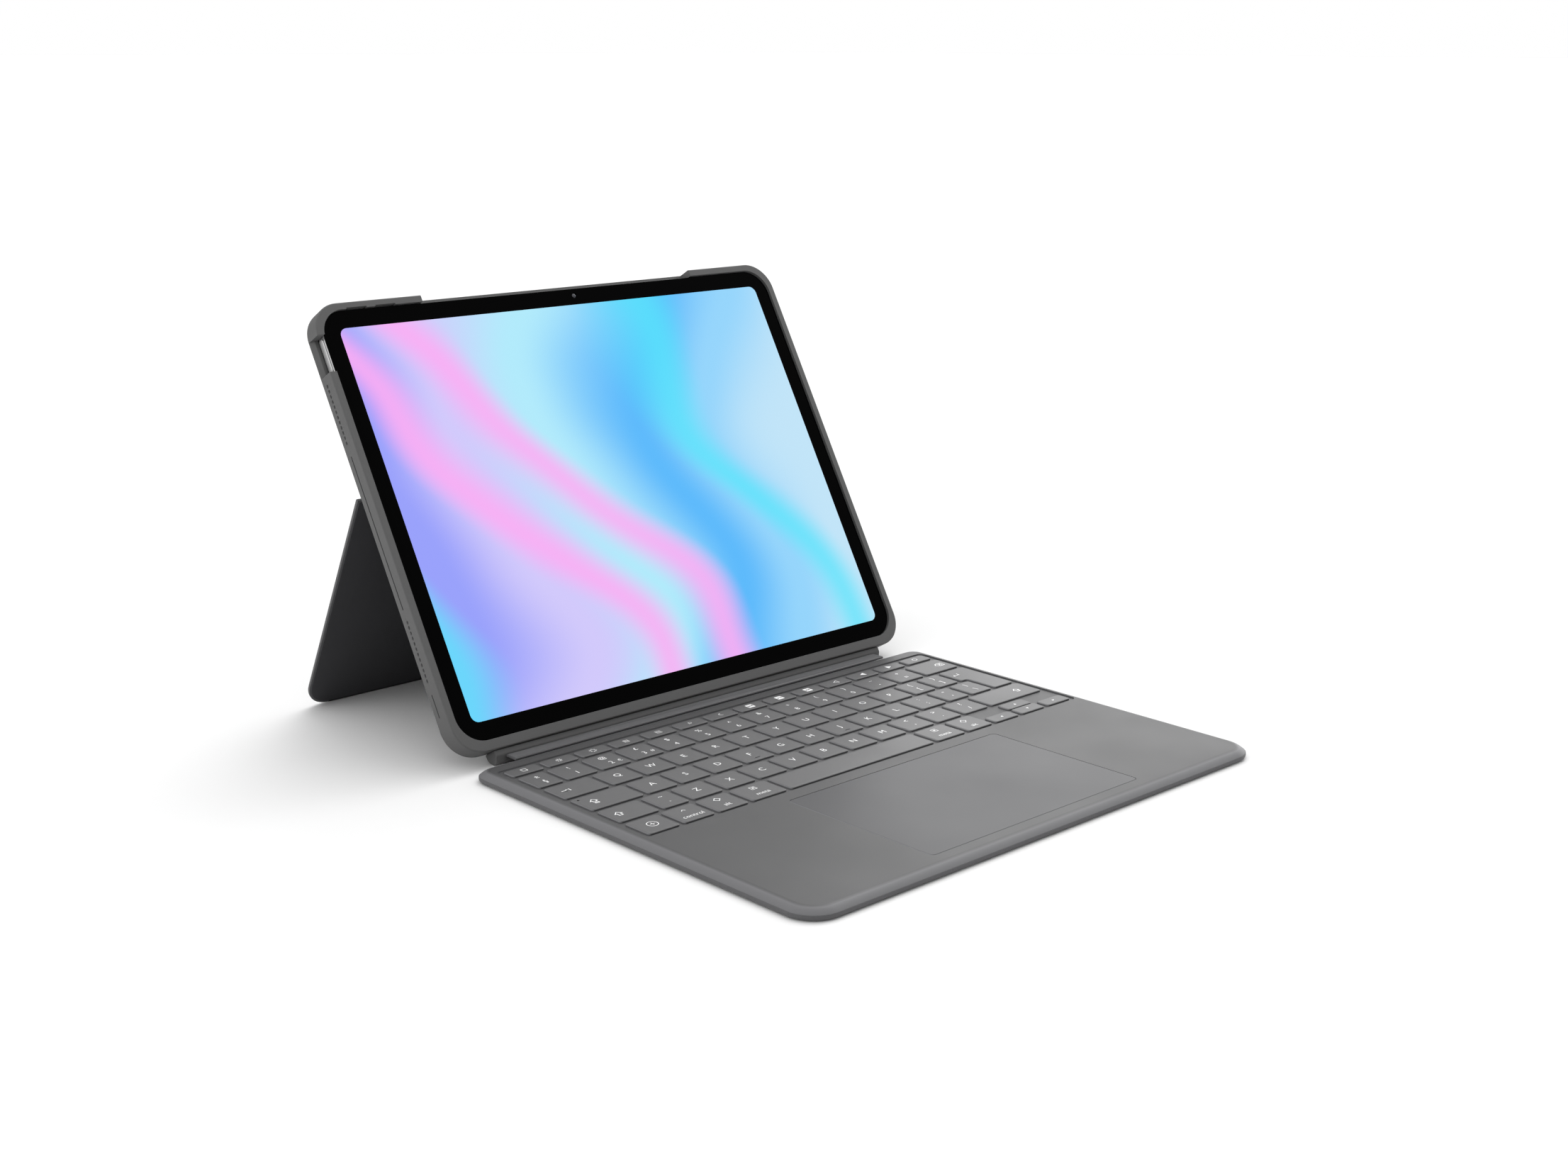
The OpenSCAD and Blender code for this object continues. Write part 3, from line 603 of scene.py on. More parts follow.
KEY_BODIES = ["function_keys", "number_keys", "upper_letter_keys", "home_letter_keys", "lower_letter_keys",
              "modifier_keys", "tab_key", "caps_lock_key", "left_shift_key", "right_shift_key",
              "backspace_key", "space_bar", "left_arrow_key", "right_arrow_key", "up_arrow_key",
              "down_arrow_key"]
cap_boxes = {name: solids_in(name) for name in KEY_BODIES}
print(sum(len(boxes) for boxes in cap_boxes.values()), "caps found")

# %% Make the caps
CAP_CORNER, CAP_ROLL, CAP_SKIN = 1.6 * MM, 0.5 * MM, 1.2 * MM


def cap(bm, points, low, high):
    plate(bm, points, low, CAP_CORNER, segments=5,
          up=wall(high - low - CAP_ROLL) + roll(1.4 * CAP_ROLL, CAP_ROLL, 4),
          down=[(CAP_SKIN, 0), (0, high - low - CAP_SKIN)])


def finger_bar(bm, low, high):
    """The small raised line on the two keys where the first fingers rest."""
    middle, front, half, deep = (low.x + high.x) / 2, low.y + 2.6 * MM, 1.7 * MM, 0.45 * MM
    plate(bm, rectangle(middle - half, middle + half, front, front + deep), high.z - 0.1 * MM,
          0.2 * MM, segments=2, up=wall(0.2 * MM) + roll(0.1 * MM, 0.1 * MM, 2))


FINGER_KEYS = (3, 6)
for name, boxes in cap_boxes.items():
    bm = bmesh.new()
    for low, high in boxes:
        cap(bm, around(low, high), low.z, high.z)
    if name == "home_letter_keys":
        for k in FINGER_KEYS:
            finger_bar(bm, *boxes[k])
    finish_piece(bm, name + "_caps", key_finish, name, "keycap", name)

# %% Return key
return_low, return_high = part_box("return_key")
upper_right, home_right = cap_boxes["upper_letter_keys"][-1], cap_boxes["home_letter_keys"][-1]
cap_gap = upper_right[0].x - cap_boxes["upper_letter_keys"][-2][1].x
step_x, step_y = home_right[1].x + cap_gap, upper_right[0].y


def return_outline(gap=0):
    """The return key is wider in its upper row, so it has a step in its left side."""
    left, step, right = return_low.x - gap, step_x - gap, return_high.x + gap
    front, shelf, rear = return_low.y - gap, step_y - gap, return_high.y + gap
    return [(step, front), (right, front), (right, rear), (left, rear), (left, shelf), (step, shelf)]


bm = bmesh.new()
cap(bm, return_outline(), return_low.z, return_high.z)
finish_piece(bm, "return_key_cap", key_finish, "return_key", "keycap", "return_key")

# %% [markdown]
# ## Key frame
# The floor of the well is a thin sheet with an opening for each cap. It stands close under the caps' tops, so
# that only their rolled edges show above it, which gives the keyboard its calm, nearly flat look.

# %% Key frame
FRAME_TOP, OPENING_GAP = deck_high.z - 0.6 * MM, 0.06 * MM
bm = bmesh.new()
plate(bm, around(well_low, well_high), well_low.z, 0, up=wall(FRAME_TOP - well_low.z))
key_sheet = closed(bm, "key_frame_sheet", deck_finish)
cutter = bmesh.new()


def opening(points):
    plate(cutter, points, well_low.z - MM, CAP_CORNER + OPENING_GAP, up=wall(4 * MM), segments=4)


for boxes in cap_boxes.values():
    for low, high in boxes:
        opening(around(low, high, OPENING_GAP))
opening(return_outline(OPENING_GAP))
carve(key_sheet, closed(cutter, "opening_cutter"))
smooth(key_sheet)
keep(key_sheet, "keyboard", "shell", "key_frame")

# %% [markdown]
# ## Legends
# The print on the caps is a hair's breadth of pale ink. Text objects give the shapes, and each is made a flat
# mesh before it is put in its place. The signs are plain ones that any keyboard may carry.

# %% Legend helpers
INK = 0.015 * MM


def write(bm, text, x, y, z, size):
    """Adds one word or sign to a mesh, centred on x and y."""
    curve = bpy.data.curves.new("text", "FONT")
    curve.body, curve.size, curve.resolution_u = text, size, 2
    curve.offset = -0.004 * size if text.isalnum() else 0
    letters = bpy.data.objects.new("text", curve)
    scene.collection.objects.link(letters)
    shape = bpy.data.meshes.new_from_object(letters.evaluated_get(bpy.context.evaluated_depsgraph_get()))
    xs, ys = [v.co.x for v in shape.vertices], [v.co.y for v in shape.vertices]
    shape.transform(Matrix.Translation((x - (min(xs) + max(xs)) / 2, y - (min(ys) + max(ys)) / 2, z + INK)))
    bm.from_mesh(shape)
    bpy.data.objects.remove(letters)
    bpy.data.meshes.remove(shape)


# Where a sign stands on its cap, as shares of the cap from its middle, and its size in millimetres
CENTRE, LOWER, UPPER, CORNER = (0, 0, 5.0), (0.02, -0.2, 4.6), (0.02, 0.22, 4.3), (0.3, -0.2, 3.5)
WORD, MARK, LEFT, RIGHT = (0.0, -0.22, 3.9), (0.0, 0.2, 4.2), (-0.24, 0, 5.6), (0.24, 0, 5.6)
SMALL = (0, 0, 4.0)


def pairs(text):
    """Number keys carry a digit, a sign above it, and sometimes a small one beside it."""
    return [list(zip(key, (LOWER, UPPER, CORNER))) for key in text.split()]


def one_each(text, place):
    return [[(sign, place)] for sign in text.split()]


LEGENDS = {
    "function_keys": one_each("▢ ☼ ☀ ⊟ ▤ ⌕ ☾ ⏮ ⏯ ⏭ ◁ ◀ ▶ ○", SMALL),
    "number_keys": pairs("§± 1! 2@€ 3£# 4$ 5% 6^ 7& 8* 9( 0) -_ =+"),
    "upper_letter_keys": one_each("Q W E R T Y U I O P", CENTRE) + pairs("[{ ]}"),
    "home_letter_keys": one_each("A S D F G H J K L", CENTRE) + pairs(";: '\" \\|"),
    "lower_letter_keys": pairs("`~") + one_each("Z X C V B N M", CENTRE) + pairs(",< .> /?"),
    "modifier_keys": [
        [("⊕", SMALL)], [("control", WORD), ("⌃", MARK)], [("alt", WORD), ("◇", MARK)],
        [("meta", WORD), ("▣", MARK)], [("meta", WORD), ("▣", MARK)], [("alt", WORD), ("◇", MARK)]],
    "tab_key": [[("⇥", LEFT)]],
    "caps_lock_key": [[("⇪", LEFT)]],
    "left_shift_key": [[("⇧", LEFT)]],
    "right_shift_key": [[("⇧", RIGHT)]],
    "backspace_key": [[("⌫", RIGHT)]],
    "left_arrow_key": [[("◂", CENTRE)]],
    "right_arrow_key": [[("▸", CENTRE)]],
    "up_arrow_key": [[("▴", CENTRE)]],
    "down_arrow_key": [[("▾", CENTRE)]],
    "return_key": [[("↵", LEFT)]],
}

# %% Print the legends
cap_boxes["return_key"] = [(Vector((return_low.x, step_y, 0)), return_high)]
for name, keys in LEGENDS.items():
    bm = bmesh.new()
    for (low, high), signs in zip(cap_boxes[name], keys):
        middle, size = (low + high) / 2, high - low
        for text, (across, along, tall) in signs:
            write(bm, text, middle.x + across * size.x, middle.y + along * size.y, high.z, tall * MM)
    print_on = new_object(name + "_legends", bm, legend_finish)
    keep(print_on, name, "white_plastic")

# %% [markdown]
# ## Hinge
# A stiff strip in a soft grey skin turns on a fold at each of its long edges. The bar behind it holds the
# magnets and the contacts, and it rests on the table on a round foot. The bar is drawn as one outline across
# its section and then drawn out along its length.

# %% Flap
bm = bmesh.new()
flap_middle, flap_half = (flap_low.z + flap_high.z) / 2, (flap_high.z - flap_low.z) / 2
FLAP_CORNER, FLAP_ROLL = 0.3 * MM, 0.6 * MM
plate(bm, around(flap_low, flap_high), flap_middle, FLAP_CORNER, segments=2,
      up=roll(FLAP_ROLL, flap_half, 4), down=roll(FLAP_ROLL, -flap_half, 4))
finish_piece(bm, "flap", flap_finish, "spine_flap", "skin", "hinge_flap")

# %% Connector bar
ALONG_X = Matrix(((0, 0, 1, 0), (1, 0, 0, 0), (0, 1, 0, 0), (0, 0, 0, 1)))
bar_low, bar_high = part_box("connector_bar")
BAR_TOP, BAR_BACK, BAR_THICK, BAR_ROLL = case_low.y - 0.1 * MM, -8.8 * MM, 2.8 * MM, 0.45 * MM
corners = [CASE @ Vector((0, v, n)) for v, n in (
    (BAR_TOP, BAR_BACK), (BAR_TOP, -0.2 * MM), (BAR_TOP - BAR_THICK, -0.2 * MM))]
foot = [(corners[2].y + 0.25 * MM, 0), (corners[0].y - 2.3 * MM, 0)]
bm = bmesh.new()
section = [(c.y, c.z) for c in corners] + foot
plate(bm, section, 0, [0.5 * MM, 0.6 * MM, 0.5 * MM, 2.4 * MM, 2.4 * MM], segments=5,
      up=wall(bar_high.x - BAR_ROLL) + roll(BAR_ROLL, BAR_ROLL, 3),
      down=wall(bar_low.x + BAR_ROLL) + roll(BAR_ROLL, -BAR_ROLL, 3))
bar = closed(bm, "connector_bar_shell", shell_finish, ALONG_X)
print("bar", [round(1000 * s, 1) for s in bar_high - bar_low])

# %% Pockets of the bar
cutter = bmesh.new()
POCKET_V, POCKET_N, POCKET_GAP = (BAR_TOP - 2.1 * MM, BAR_TOP + MM), (-7.1 * MM, -1.9 * MM), 0.1 * MM
for low, high in solids_in("bar_magnets"):
    block(cutter, span(low, high, POCKET_GAP), POCKET_V, POCKET_N)
block(cutter, span(*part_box("pogo_block"), POCKET_GAP), (POCKET_V[0] - 0.4 * MM, POCKET_V[1]), POCKET_N)
carve(bar, closed(cutter, "bar_cutter", matrix=CASE))
smooth(bar, 40)
keep(bar, "connector_bar", "shell", "connector_bar")

# %% [markdown]
# ## The case's frame
# The soft frame grips the tablet's edge. It is drawn lying down as one plate, whose back edge rolls over
# more than its front edge, and then opened: the tablet's seat, the back, the gap between the two top
# bumpers, the button's cut-out, the port, two fine grooves and the openings over the volume buttons. The
# speakers' holes come last, after the edges are softened, so that they stay crisp.

# %% Frame blank
CASE_CORNER, BACK_ROLL, LIP_ROLL = 15 * MM, 1.7 * MM, 0.7 * MM
bm = bmesh.new()
start = case_low.z + BACK_ROLL
plate(bm, around(case_low, case_high), start, CASE_CORNER, segments=14,
      up=wall(case_high.z - LIP_ROLL - start) + roll(LIP_ROLL, LIP_ROLL, 4),
      down=roll(BACK_ROLL, -BACK_ROLL, 5))
bumper = closed(bm, "case_frame", shell_finish)
print("frame blank ready")

# %% Openings of the frame
SEAT_GAP, SEAT_CORNER, SEAT_FLOOR, BACK_CORNER = 0.2 * MM, 13.5 * MM, -6.55 * MM, 13.2 * MM
BARE_TOP, CUTOUT, CUTOUT_SLOPE = (-82 * MM, 88.8 * MM), (176 * MM, 194.6 * MM), 1.9 * MM
PORT_HALF, PORT_N, CONTACT_HALF, CONTACT_V = 7 * MM, (-6.1 * MM, -0.6 * MM), 9.1 * MM, 14.1 * MM
GROOVES, GROOVE_N, GROOVE_DEEP = ((59.7, 135.8), (7, 18.3)), (-5.3 * MM, -4.6 * MM), 0.4 * MM
VOLUME_DEEP, VOLUME_N = 8 * MM, (-5.1 * MM, -0.9 * MM)
SPEAKER_ROWS, HOLES, HOLE_STEP, HOLE_N = (24.9 * MM, 142.5 * MM), 12, 2.6 * MM, -4.9 * MM
tablet_low, tablet_high = box_in(CASE, "tablet_housing")
inner_low, inner_high = box_in(CASE, "case_back_shell")
FAR = 40 * MM


def cut_frame(draw, matrix=FLAT):
    """Cuts what draw() adds to a fresh mesh out of the case's frame."""
    cutter = bmesh.new()
    draw(cutter)
    carve(bumper, closed(cutter, "frame_cutter", matrix=matrix))
    print(draw.__name__, len(bumper.data.polygons), "faces")


def seat(cutter):
    plate(cutter, around(tablet_low, tablet_high, SEAT_GAP), SEAT_FLOOR, SEAT_CORNER, up=wall(FAR),
          segments=14)


def back_opening(cutter):
    plate(cutter, around(inner_low, inner_high), SEAT_FLOOR + 0.05 * MM, BACK_CORNER, down=wall(-FAR),
          segments=14)


def top_gap(cutter):
    block(cutter, BARE_TOP, (tablet_high.y - 0.5 * MM, case_high.y + MM), (SEAT_FLOOR, FAR))


def button_cutout(cutter):
    """The floor of this opening slopes down to the outside, so it is drawn as a section across it."""
    inside, outer, floor_n = tablet_low.x + 0.05 * MM, case_low.x, tablet_low.z
    plate(cutter, [(inside, FAR), (-FAR * 5, FAR), (-FAR * 5, floor_n - CUTOUT_SLOPE),
                   (outer, floor_n - CUTOUT_SLOPE), (outer + CUTOUT_SLOPE, floor_n), (inside, floor_n)],
          -CUTOUT[1], 0, up=wall(CUTOUT[1] - CUTOUT[0]))


def side_openings(cutter):
    mid_v = (tablet_low.y + tablet_high.y) / 2
    block(cutter, (tablet_high.x - 0.05 * MM, FAR * 5), (mid_v - PORT_HALF, mid_v + PORT_HALF), PORT_N)
    for low, high in GROOVES:
        block(cutter, (-FAR * 5, case_low.x + GROOVE_DEEP), (low * MM, high * MM), GROOVE_N)


def speaker_holes(cutter):
    for side in (case_low.x, case_high.x):
        for first in SPEAKER_ROWS:
            for k in range(HOLES):
                place = Matrix.Translation((side, first + HOLE_STEP * k, HOLE_N))
                turn = place @ Matrix.Rotation(pi / 2, 4, "Y")
                oval = turn @ Matrix.Diagonal((0.7, 0.95, 1, 1))
                bmesh.ops.create_cone(cutter, cap_ends=True, segments=16, radius1=MM, radius2=MM,
                                      depth=7 * MM, matrix=oval)


def contact_slot(cutter):
    block(cutter, (-CONTACT_HALF, CONTACT_HALF), (case_low.y - MM, case_low.y + CONTACT_V),
          (SEAT_FLOOR - 0.1 * MM, -2.9 * MM))


def volume_windows(cutter):
    for low, high in solids_in("volume_cover"):
        block(cutter, span(low, high, 0.3 * MM), (case_high.y - VOLUME_DEEP, case_high.y + MM), VOLUME_N)


def volume_reliefs(cutter):
    for low, high in solids_in("volume_cover"):
        block(cutter, span(low, high, -0.5 * MM),
              (case_high.y - VOLUME_DEEP, tablet_high.y + 0.8 * MM), (-5 * MM, 3 * MM))


for draw in (seat, back_opening, top_gap, side_openings, contact_slot, volume_windows, volume_reliefs):
    cut_frame(draw)
cut_frame(button_cutout, Matrix.Rotation(pi / 2, 4, "X"))
soften(bumper, 0.3 * MM, angle=40)
cut_frame(speaker_holes)
smooth(bumper, 40)
bumper.data.transform(CASE)
keep(bumper, "case", "shell", "bumper_frame")

# %% [markdown]
# ## The case's back
# Behind the frame a stiff shell carries a woven skin. The skin has a window for the tablet's camera and two
# shallow grooves for the hinges. A turned ring, made by spinning a small section, frames the camera.

# %% Ring helper
def ring(bm, centre, section, steps=48):
    """Spins a section of (radius, height) points round an upright line through centre."""
    verts = [bm.verts.new((centre[0] + r, centre[1], z)) for r, z in section]
    edges = [bm.edges.new(pair) for pair in zip(verts, verts[1:] + verts[:1])]
    bmesh.ops.spin(bm, geom=verts + edges, cent=(*centre, 0), axis=(0, 0, 1), angle=2 * pi, steps=steps,
                   use_merge=True)


# %% Back skin and camera ring
skin_low, skin_high = box_in(CASE, "back_fabric")
ring_low, ring_high = box_in(CASE, "camera_ring")
window = ((ring_low.x + ring_high.x) / 2, (ring_low.y + ring_high.y) / 2)
window_r = (ring_high.x - ring_low.x) / 2
hinge_line = box_in(CASE, "hinge_pins")
hinge_v = (hinge_line[0].y + hinge_line[1].y) / 2
SKIN_CORNER, HINGE_GROOVE, RING_IN, RING_EDGE = 13.1 * MM, (2.2 * MM, 16.2 * MM), 10.5 * MM, 0.25 * MM
bm = bmesh.new()
plate(bm, around(skin_low, skin_high), skin_high.z, SKIN_CORNER, segments=14,
      down=wall(-0.1 * MM) + roll(0.3 * MM, skin_low.z - skin_high.z + 0.1 * MM, 3))
skin = closed(bm, "back_skin", back_finish)
cutter = bmesh.new()
hole_r = window_r + 0.1 * MM
bmesh.ops.create_cone(cutter, cap_ends=True, segments=64, radius1=hole_r, radius2=hole_r, depth=FAR,
                      matrix=Matrix.Translation((*window, 0)))
for low, high in solids_in("hinge_pins"):
    block(cutter, span(low, high, MM), (hinge_v - HINGE_GROOVE[0], hinge_v + HINGE_GROOVE[1]),
          (-20 * MM, 0))
carve(skin, closed(cutter, "skin_cutter"))
smooth(skin, 40)
skin.data.transform(CASE)
keep(skin, "case", "skin", "back_fabric")

bm = bmesh.new()
ring(bm, window, [(RING_IN, ring_high.z), (RING_IN, ring_low.z + RING_EDGE),
                  (RING_IN + RING_EDGE, ring_low.z), (window_r - RING_EDGE, ring_low.z),
                  (window_r, ring_low.z + RING_EDGE), (window_r, ring_high.z)])
finish_piece(bm, "camera_window_ring", shell_finish, "case", "shell", "camera_ring", matrix=CASE, angle=30)

# %% Volume cover
UPRIGHT = Matrix.Rotation(-pi / 2, 4, "X")
bm = bmesh.new()
COVER_START, COVER_END = tablet_high.y + 0.6 * MM, case_high.y + 0.3 * MM
COVER_N, COVER_CORNER, COVER_EDGE = (1.2 * MM, 4.8 * MM), 0.8 * MM, 0.5 * MM
for low, high in solids_in("volume_cover"):
    plate(bm, rectangle(low.x, high.x, *COVER_N), COVER_START, COVER_CORNER, segments=4,
          up=wall(COVER_END - COVER_START - COVER_EDGE) + roll(COVER_EDGE, COVER_EDGE, 3))
finish_piece(bm, "volume_cover_pads", shell_finish, "volume_cover", "skin", "volume_cover",
             matrix=CASE @ UPRIGHT, angle=40)

# %% [markdown]
# ## Kickstand
# The stand is a stiff dark sheet with a woven skin outside. The skin wraps the sheet's edge, so from inside
# it shows as a thin paler rim. Only its two free corners are round, and a rubber strip keeps it from sliding.

# %% Kickstand
swing = next(joint for joint in frame["joints"] if joint["name"] == "kickstand_swing")
opened = radians(-swing["range_deg"][0])
KICK = Matrix.Translation(swing["pos_m"]) @ Matrix.Rotation(TILT + opened, 4, "X")
panel_low, panel_high = box_in(KICK, "kickstand_panel")
foot_low, foot_high = box_in(KICK, "kickstand_foot")
KICK_CORNER, KICK_TOP, KICK_RIM = 13 * MM, -2.8 * MM, 1.1 * MM
KICK_END = foot_low.y + 0.4 * MM


def kick_outline(inset):
    return rectangle(panel_low.x + inset, panel_high.x - inset, KICK_END + inset, KICK_TOP - inset)


bm = bmesh.new()
plate(bm, kick_outline(0), 0, [KICK_CORNER, KICK_CORNER, 0.6 * MM, 0.6 * MM], segments=12,
      up=wall(0.5 * MM) + roll(0.3 * MM, 0.3 * MM, 3) + [(0.5 * MM, 0)],
      down=wall(-0.45 * MM) + roll(0.5 * MM, -0.5 * MM, 3))
finish_piece(bm, "kickstand_skin", cover_finish, "kickstand", "skin", "kickstand_fabric", matrix=KICK)

bm = bmesh.new()
plate(bm, kick_outline(KICK_RIM), 0.5 * MM, [KICK_CORNER - KICK_RIM] * 2 + [0.4 * MM] * 2, segments=12,
      up=wall(0.3 * MM) + roll(0.15 * MM, 0.15 * MM, 2))
finish_piece(bm, "kickstand_sheet", dark_finish, "kickstand", "dark_panel", matrix=KICK)

# %% Kickstand knuckles and foot
bm = bmesh.new()
KNUCKLE_R, KNUCKLE_HALF = 1.7 * MM, 5.9 * MM
for low, high in solids_in("hinge_pins"):
    x = (low.x + high.x) / 2
    plate(bm, [(KICK_TOP - MM, 0.85 * MM), (KICK_TOP - MM, -0.5 * MM), (0, -KNUCKLE_R), (KNUCKLE_R, 0),
               (0, KNUCKLE_R)], x - KNUCKLE_HALF, [0, 0, 0.9 * MM, 0.9 * MM, 0.9 * MM], segments=6,
          up=wall(2 * KNUCKLE_HALF))
finish_piece(bm, "kickstand_knuckles", dark_finish, "kickstand", "dark_panel", "kickstand_panel",
             matrix=KICK @ ALONG_X, angle=40)

bm = bmesh.new()
half = (foot_high.z - foot_low.z) / 2 - 0.02 * MM
FOOT_START, FOOT_DEEP = 0.1 * MM, 3.6 * MM
strip = rectangle(foot_low.y + FOOT_START, foot_low.y + FOOT_DEEP, -half, half)
plate(bm, strip, foot_low.x + 0.5 * MM, [0.8 * MM, 0.4 * MM, 0.4 * MM, 0.8 * MM], segments=5,
      up=wall(foot_high.x - foot_low.x - MM))
finish_piece(bm, "kickstand_foot_strip", rubber_finish, "kickstand", "foot_rubber", "kickstand_foot",
             matrix=KICK @ ALONG_X, angle=40)

# %% [markdown]
# ## Tablet
# The tablet is a thin metal tray under glass. Round the lit display the glass is printed black from below,
# which is modelled as a black glossy frame with a window, and the display fills the window flush.

# %% Housing
TABLET_CORNER, TRAY_ROLL, TRAY_EDGE = 13.5 * MM, 0.7 * MM, 0.2 * MM
bm = bmesh.new()
start = tablet_low.z + TRAY_ROLL
plate(bm, around(tablet_low, tablet_high), start, TABLET_CORNER, segments=14,
      up=wall(tablet_high.z - start - TRAY_EDGE) + roll(TRAY_EDGE, TRAY_EDGE, 2),
      down=roll(TRAY_ROLL, -TRAY_ROLL, 5))
housing = closed(bm, "tablet_shell", silver_finish)
cutter = bmesh.new()
button_low, button_high = box_in(CASE, "power_button")
SLOT = 0.15 * MM
plate(cutter, rectangle(button_low.z - SLOT, button_high.z + SLOT, button_low.y - SLOT, button_high.y + SLOT),
      -tablet_low.x - 2 * MM, 1.6 * MM, segments=7, up=wall(FAR))
carve(housing, closed(cutter, "slot_cutter", matrix=Matrix.Rotation(-pi / 2, 4, "Y")))
cutter = bmesh.new()
for low, high in solids_in("volume_buttons"):
    block(cutter, span(low, high, 0.1 * MM), (tablet_high.y - 2 * MM, FAR * 8), (-4.3 * MM, -1.7 * MM))
carve(housing, closed(cutter, "housing_cutter"))
cutter = bmesh.new()
mid_v = (tablet_low.y + tablet_high.y) / 2
PLUG_HALF, PLUG_N, PLUG_CORNER, PLUG_DEEP = 4.5 * MM, (-4.7 * MM, -1.7 * MM), 1.4 * MM, 3 * MM
plate(cutter, rectangle(mid_v - PLUG_HALF, mid_v + PLUG_HALF, *PLUG_N), tablet_high.x - PLUG_DEEP,
      PLUG_CORNER, up=wall(FAR), segments=5)
carve(housing, closed(cutter, "port_cutter", matrix=ALONG_X))
smooth(housing, 35)
housing.data.transform(CASE)
keep(housing, "tablet", "aluminium", "tablet_housing")

# %% Speaker meshes
MESH_N, MESH_CORNER, MESH_PROUD = (-6.0 * MM, -3.7 * MM), 1.1 * MM, 0.12 * MM
bm = bmesh.new()
for side in (tablet_low.x, tablet_high.x):
    for first in SPEAKER_ROWS:
        middle, half = first + HOLE_STEP * (HOLES - 1) / 2, HOLE_STEP * HOLES / 2
        plate(bm, rectangle(middle - half, middle + half, *MESH_N), side, MESH_CORNER, segments=5,
              up=wall(MESH_PROUD), down=wall(-MESH_PROUD))
finish_piece(bm, "speaker_meshes", glass_finish, "tablet", "aluminium", matrix=CASE @ ALONG_X, angle=35)

# %% Power button
BUTTON_CORNER, BUTTON_ROLL, BUTTON_CROWN = 1.35 * MM, 0.3 * MM, 0.2 * MM
bm = bmesh.new()
plate(bm, rectangle(button_low.y, button_high.y, button_low.z, button_high.z), button_high.x,
      BUTTON_CORNER, segments=7,
      down=wall(button_low.x + BUTTON_CROWN - button_high.x) + roll(BUTTON_ROLL, -BUTTON_CROWN, 3))
finish_piece(bm, "power_button_cap", silver_finish, "power_button", "aluminium", "power_button",
             matrix=CASE @ ALONG_X, angle=40)

# %% [markdown]
# ## The display's finish
# The display shows a soft abstract picture, as a lit screen in a shop does. The material draws it from the
# piece's own UV map: a run of clear colours goes across, bent by noise, and one slanting wave lays pink and
# cyan ribbons over it. It gives its own light, and its low gloss stands for the glass on top.

# %% Display material
display_finish = bpy.data.materials.new("display_light")
display_finish.use_nodes = True
tree = display_finish.node_tree
shader = tree.nodes["Principled BSDF"]
uv = add(tree, "UVMap", uv_map="screen")
bend = add(tree, "TexNoise", [(uv.outputs["UV"], "Vector")], Scale=1.3, Detail=1.0, Roughness=0.3)
split = add(tree, "SeparateXYZ", [(uv.outputs["UV"], "Vector")])


def ramp(tree, stops, factor):
    made = add(tree, "ValToRGB", [(factor, "Fac")])
    made.color_ramp.interpolation = "EASE"
    elements = made.color_ramp.elements
    while len(elements) < len(stops):
        elements.new(0.5)
    for element, (place, colour) in zip(elements, stops):
        element.position, element.color = place, (*colour, 1)
    return made.outputs["Color"]


def math(tree, operation, *values):
    made = add(tree, "Math", operation=operation)
    for slot, value in enumerate(values):
        if isinstance(value, (int, float)):
            made.inputs[slot].default_value = value
        else:
            tree.links.new(value, made.inputs[slot])
    return made.outputs["Value"]


x, y, noise = split.outputs["X"], split.outputs["Y"], bend.outputs["Fac"]
drift = math(tree, "ADD", x, math(tree, "MULTIPLY", math(tree, "SUBTRACT", noise, 0.5), 0.7))
sky = ramp(tree, [(0.0, (0.32, 0.36, 1.0)), (0.2, (0.66, 0.6, 1.0)), (0.4, (0.45, 0.85, 1.0)),
                  (0.62, (0.1, 0.5, 1.0)), (0.8, (0.3, 0.68, 1.0)), (1.0, (0.55, 0.8, 0.97))], drift)
lean = math(tree, "ADD", drift, math(tree, "MULTIPLY", y, 0.42))
ribbon = math(tree, "PINGPONG", math(tree, "MULTIPLY", lean, 2.0), 1.0)
pink = ramp(tree, [(0.0, (0, 0, 0)), (0.62, (0, 0, 0)), (0.8, (0.85, 0.85, 0.85)), (1.0, (0, 0, 0))], ribbon)
cyan = ramp(tree, [(0.0, (0.75, 0.75, 0.75)), (0.22, (0, 0, 0)), (1.0, (0, 0, 0))], ribbon)
PINK, CYAN = (1.0, 0.42, 0.93), (0.08, 0.8, 1.0)
picture = lay_over(tree, cyan, lay_over(tree, pink, sky, PINK), CYAN)
tree.links.new(picture, shader.inputs["Emission Color"])
shader.inputs["Emission Strength"].default_value = 0.95
shader.inputs["Base Color"].default_value = (0.004, 0.004, 0.004, 1)
shader.inputs["Roughness"].default_value = 0.08
shader.inputs["Specular IOR Level"].default_value = 0.2

# %% Cover glass and display
WINDOW_CORNER, CAMERA_HOLE = 4 * MM, 1.5 * MM
bm = bmesh.new()
plate(bm, around(glass_low, glass_high), glass_low.z, TABLET_CORNER - 0.1 * MM, segments=14,
      up=wall(glass_high.z - glass_low.z - 0.3 * MM) + roll(0.3 * MM, 0.3 * MM, 4))
glass = closed(bm, "cover_glass", glass_finish)
screen = box_in(CASE, "display_panel")
eye = [(a + b) / 2 for a, b in zip(*box_in(CASE, "front_camera"))]
cutter = bmesh.new()
plate(cutter, around(*screen), -5 * MM, WINDOW_CORNER, up=wall(FAR))
bmesh.ops.create_cone(cutter, cap_ends=True, segments=32, radius1=CAMERA_HOLE, radius2=CAMERA_HOLE, depth=FAR,
                      matrix=Matrix.Translation((eye[0], eye[1], 0)))
carve(glass, closed(cutter, "glass_cutter"))
smooth(glass, 35)
glass.data.transform(CASE)
keep(glass, "tablet", "screen_glass", "tablet_glass")

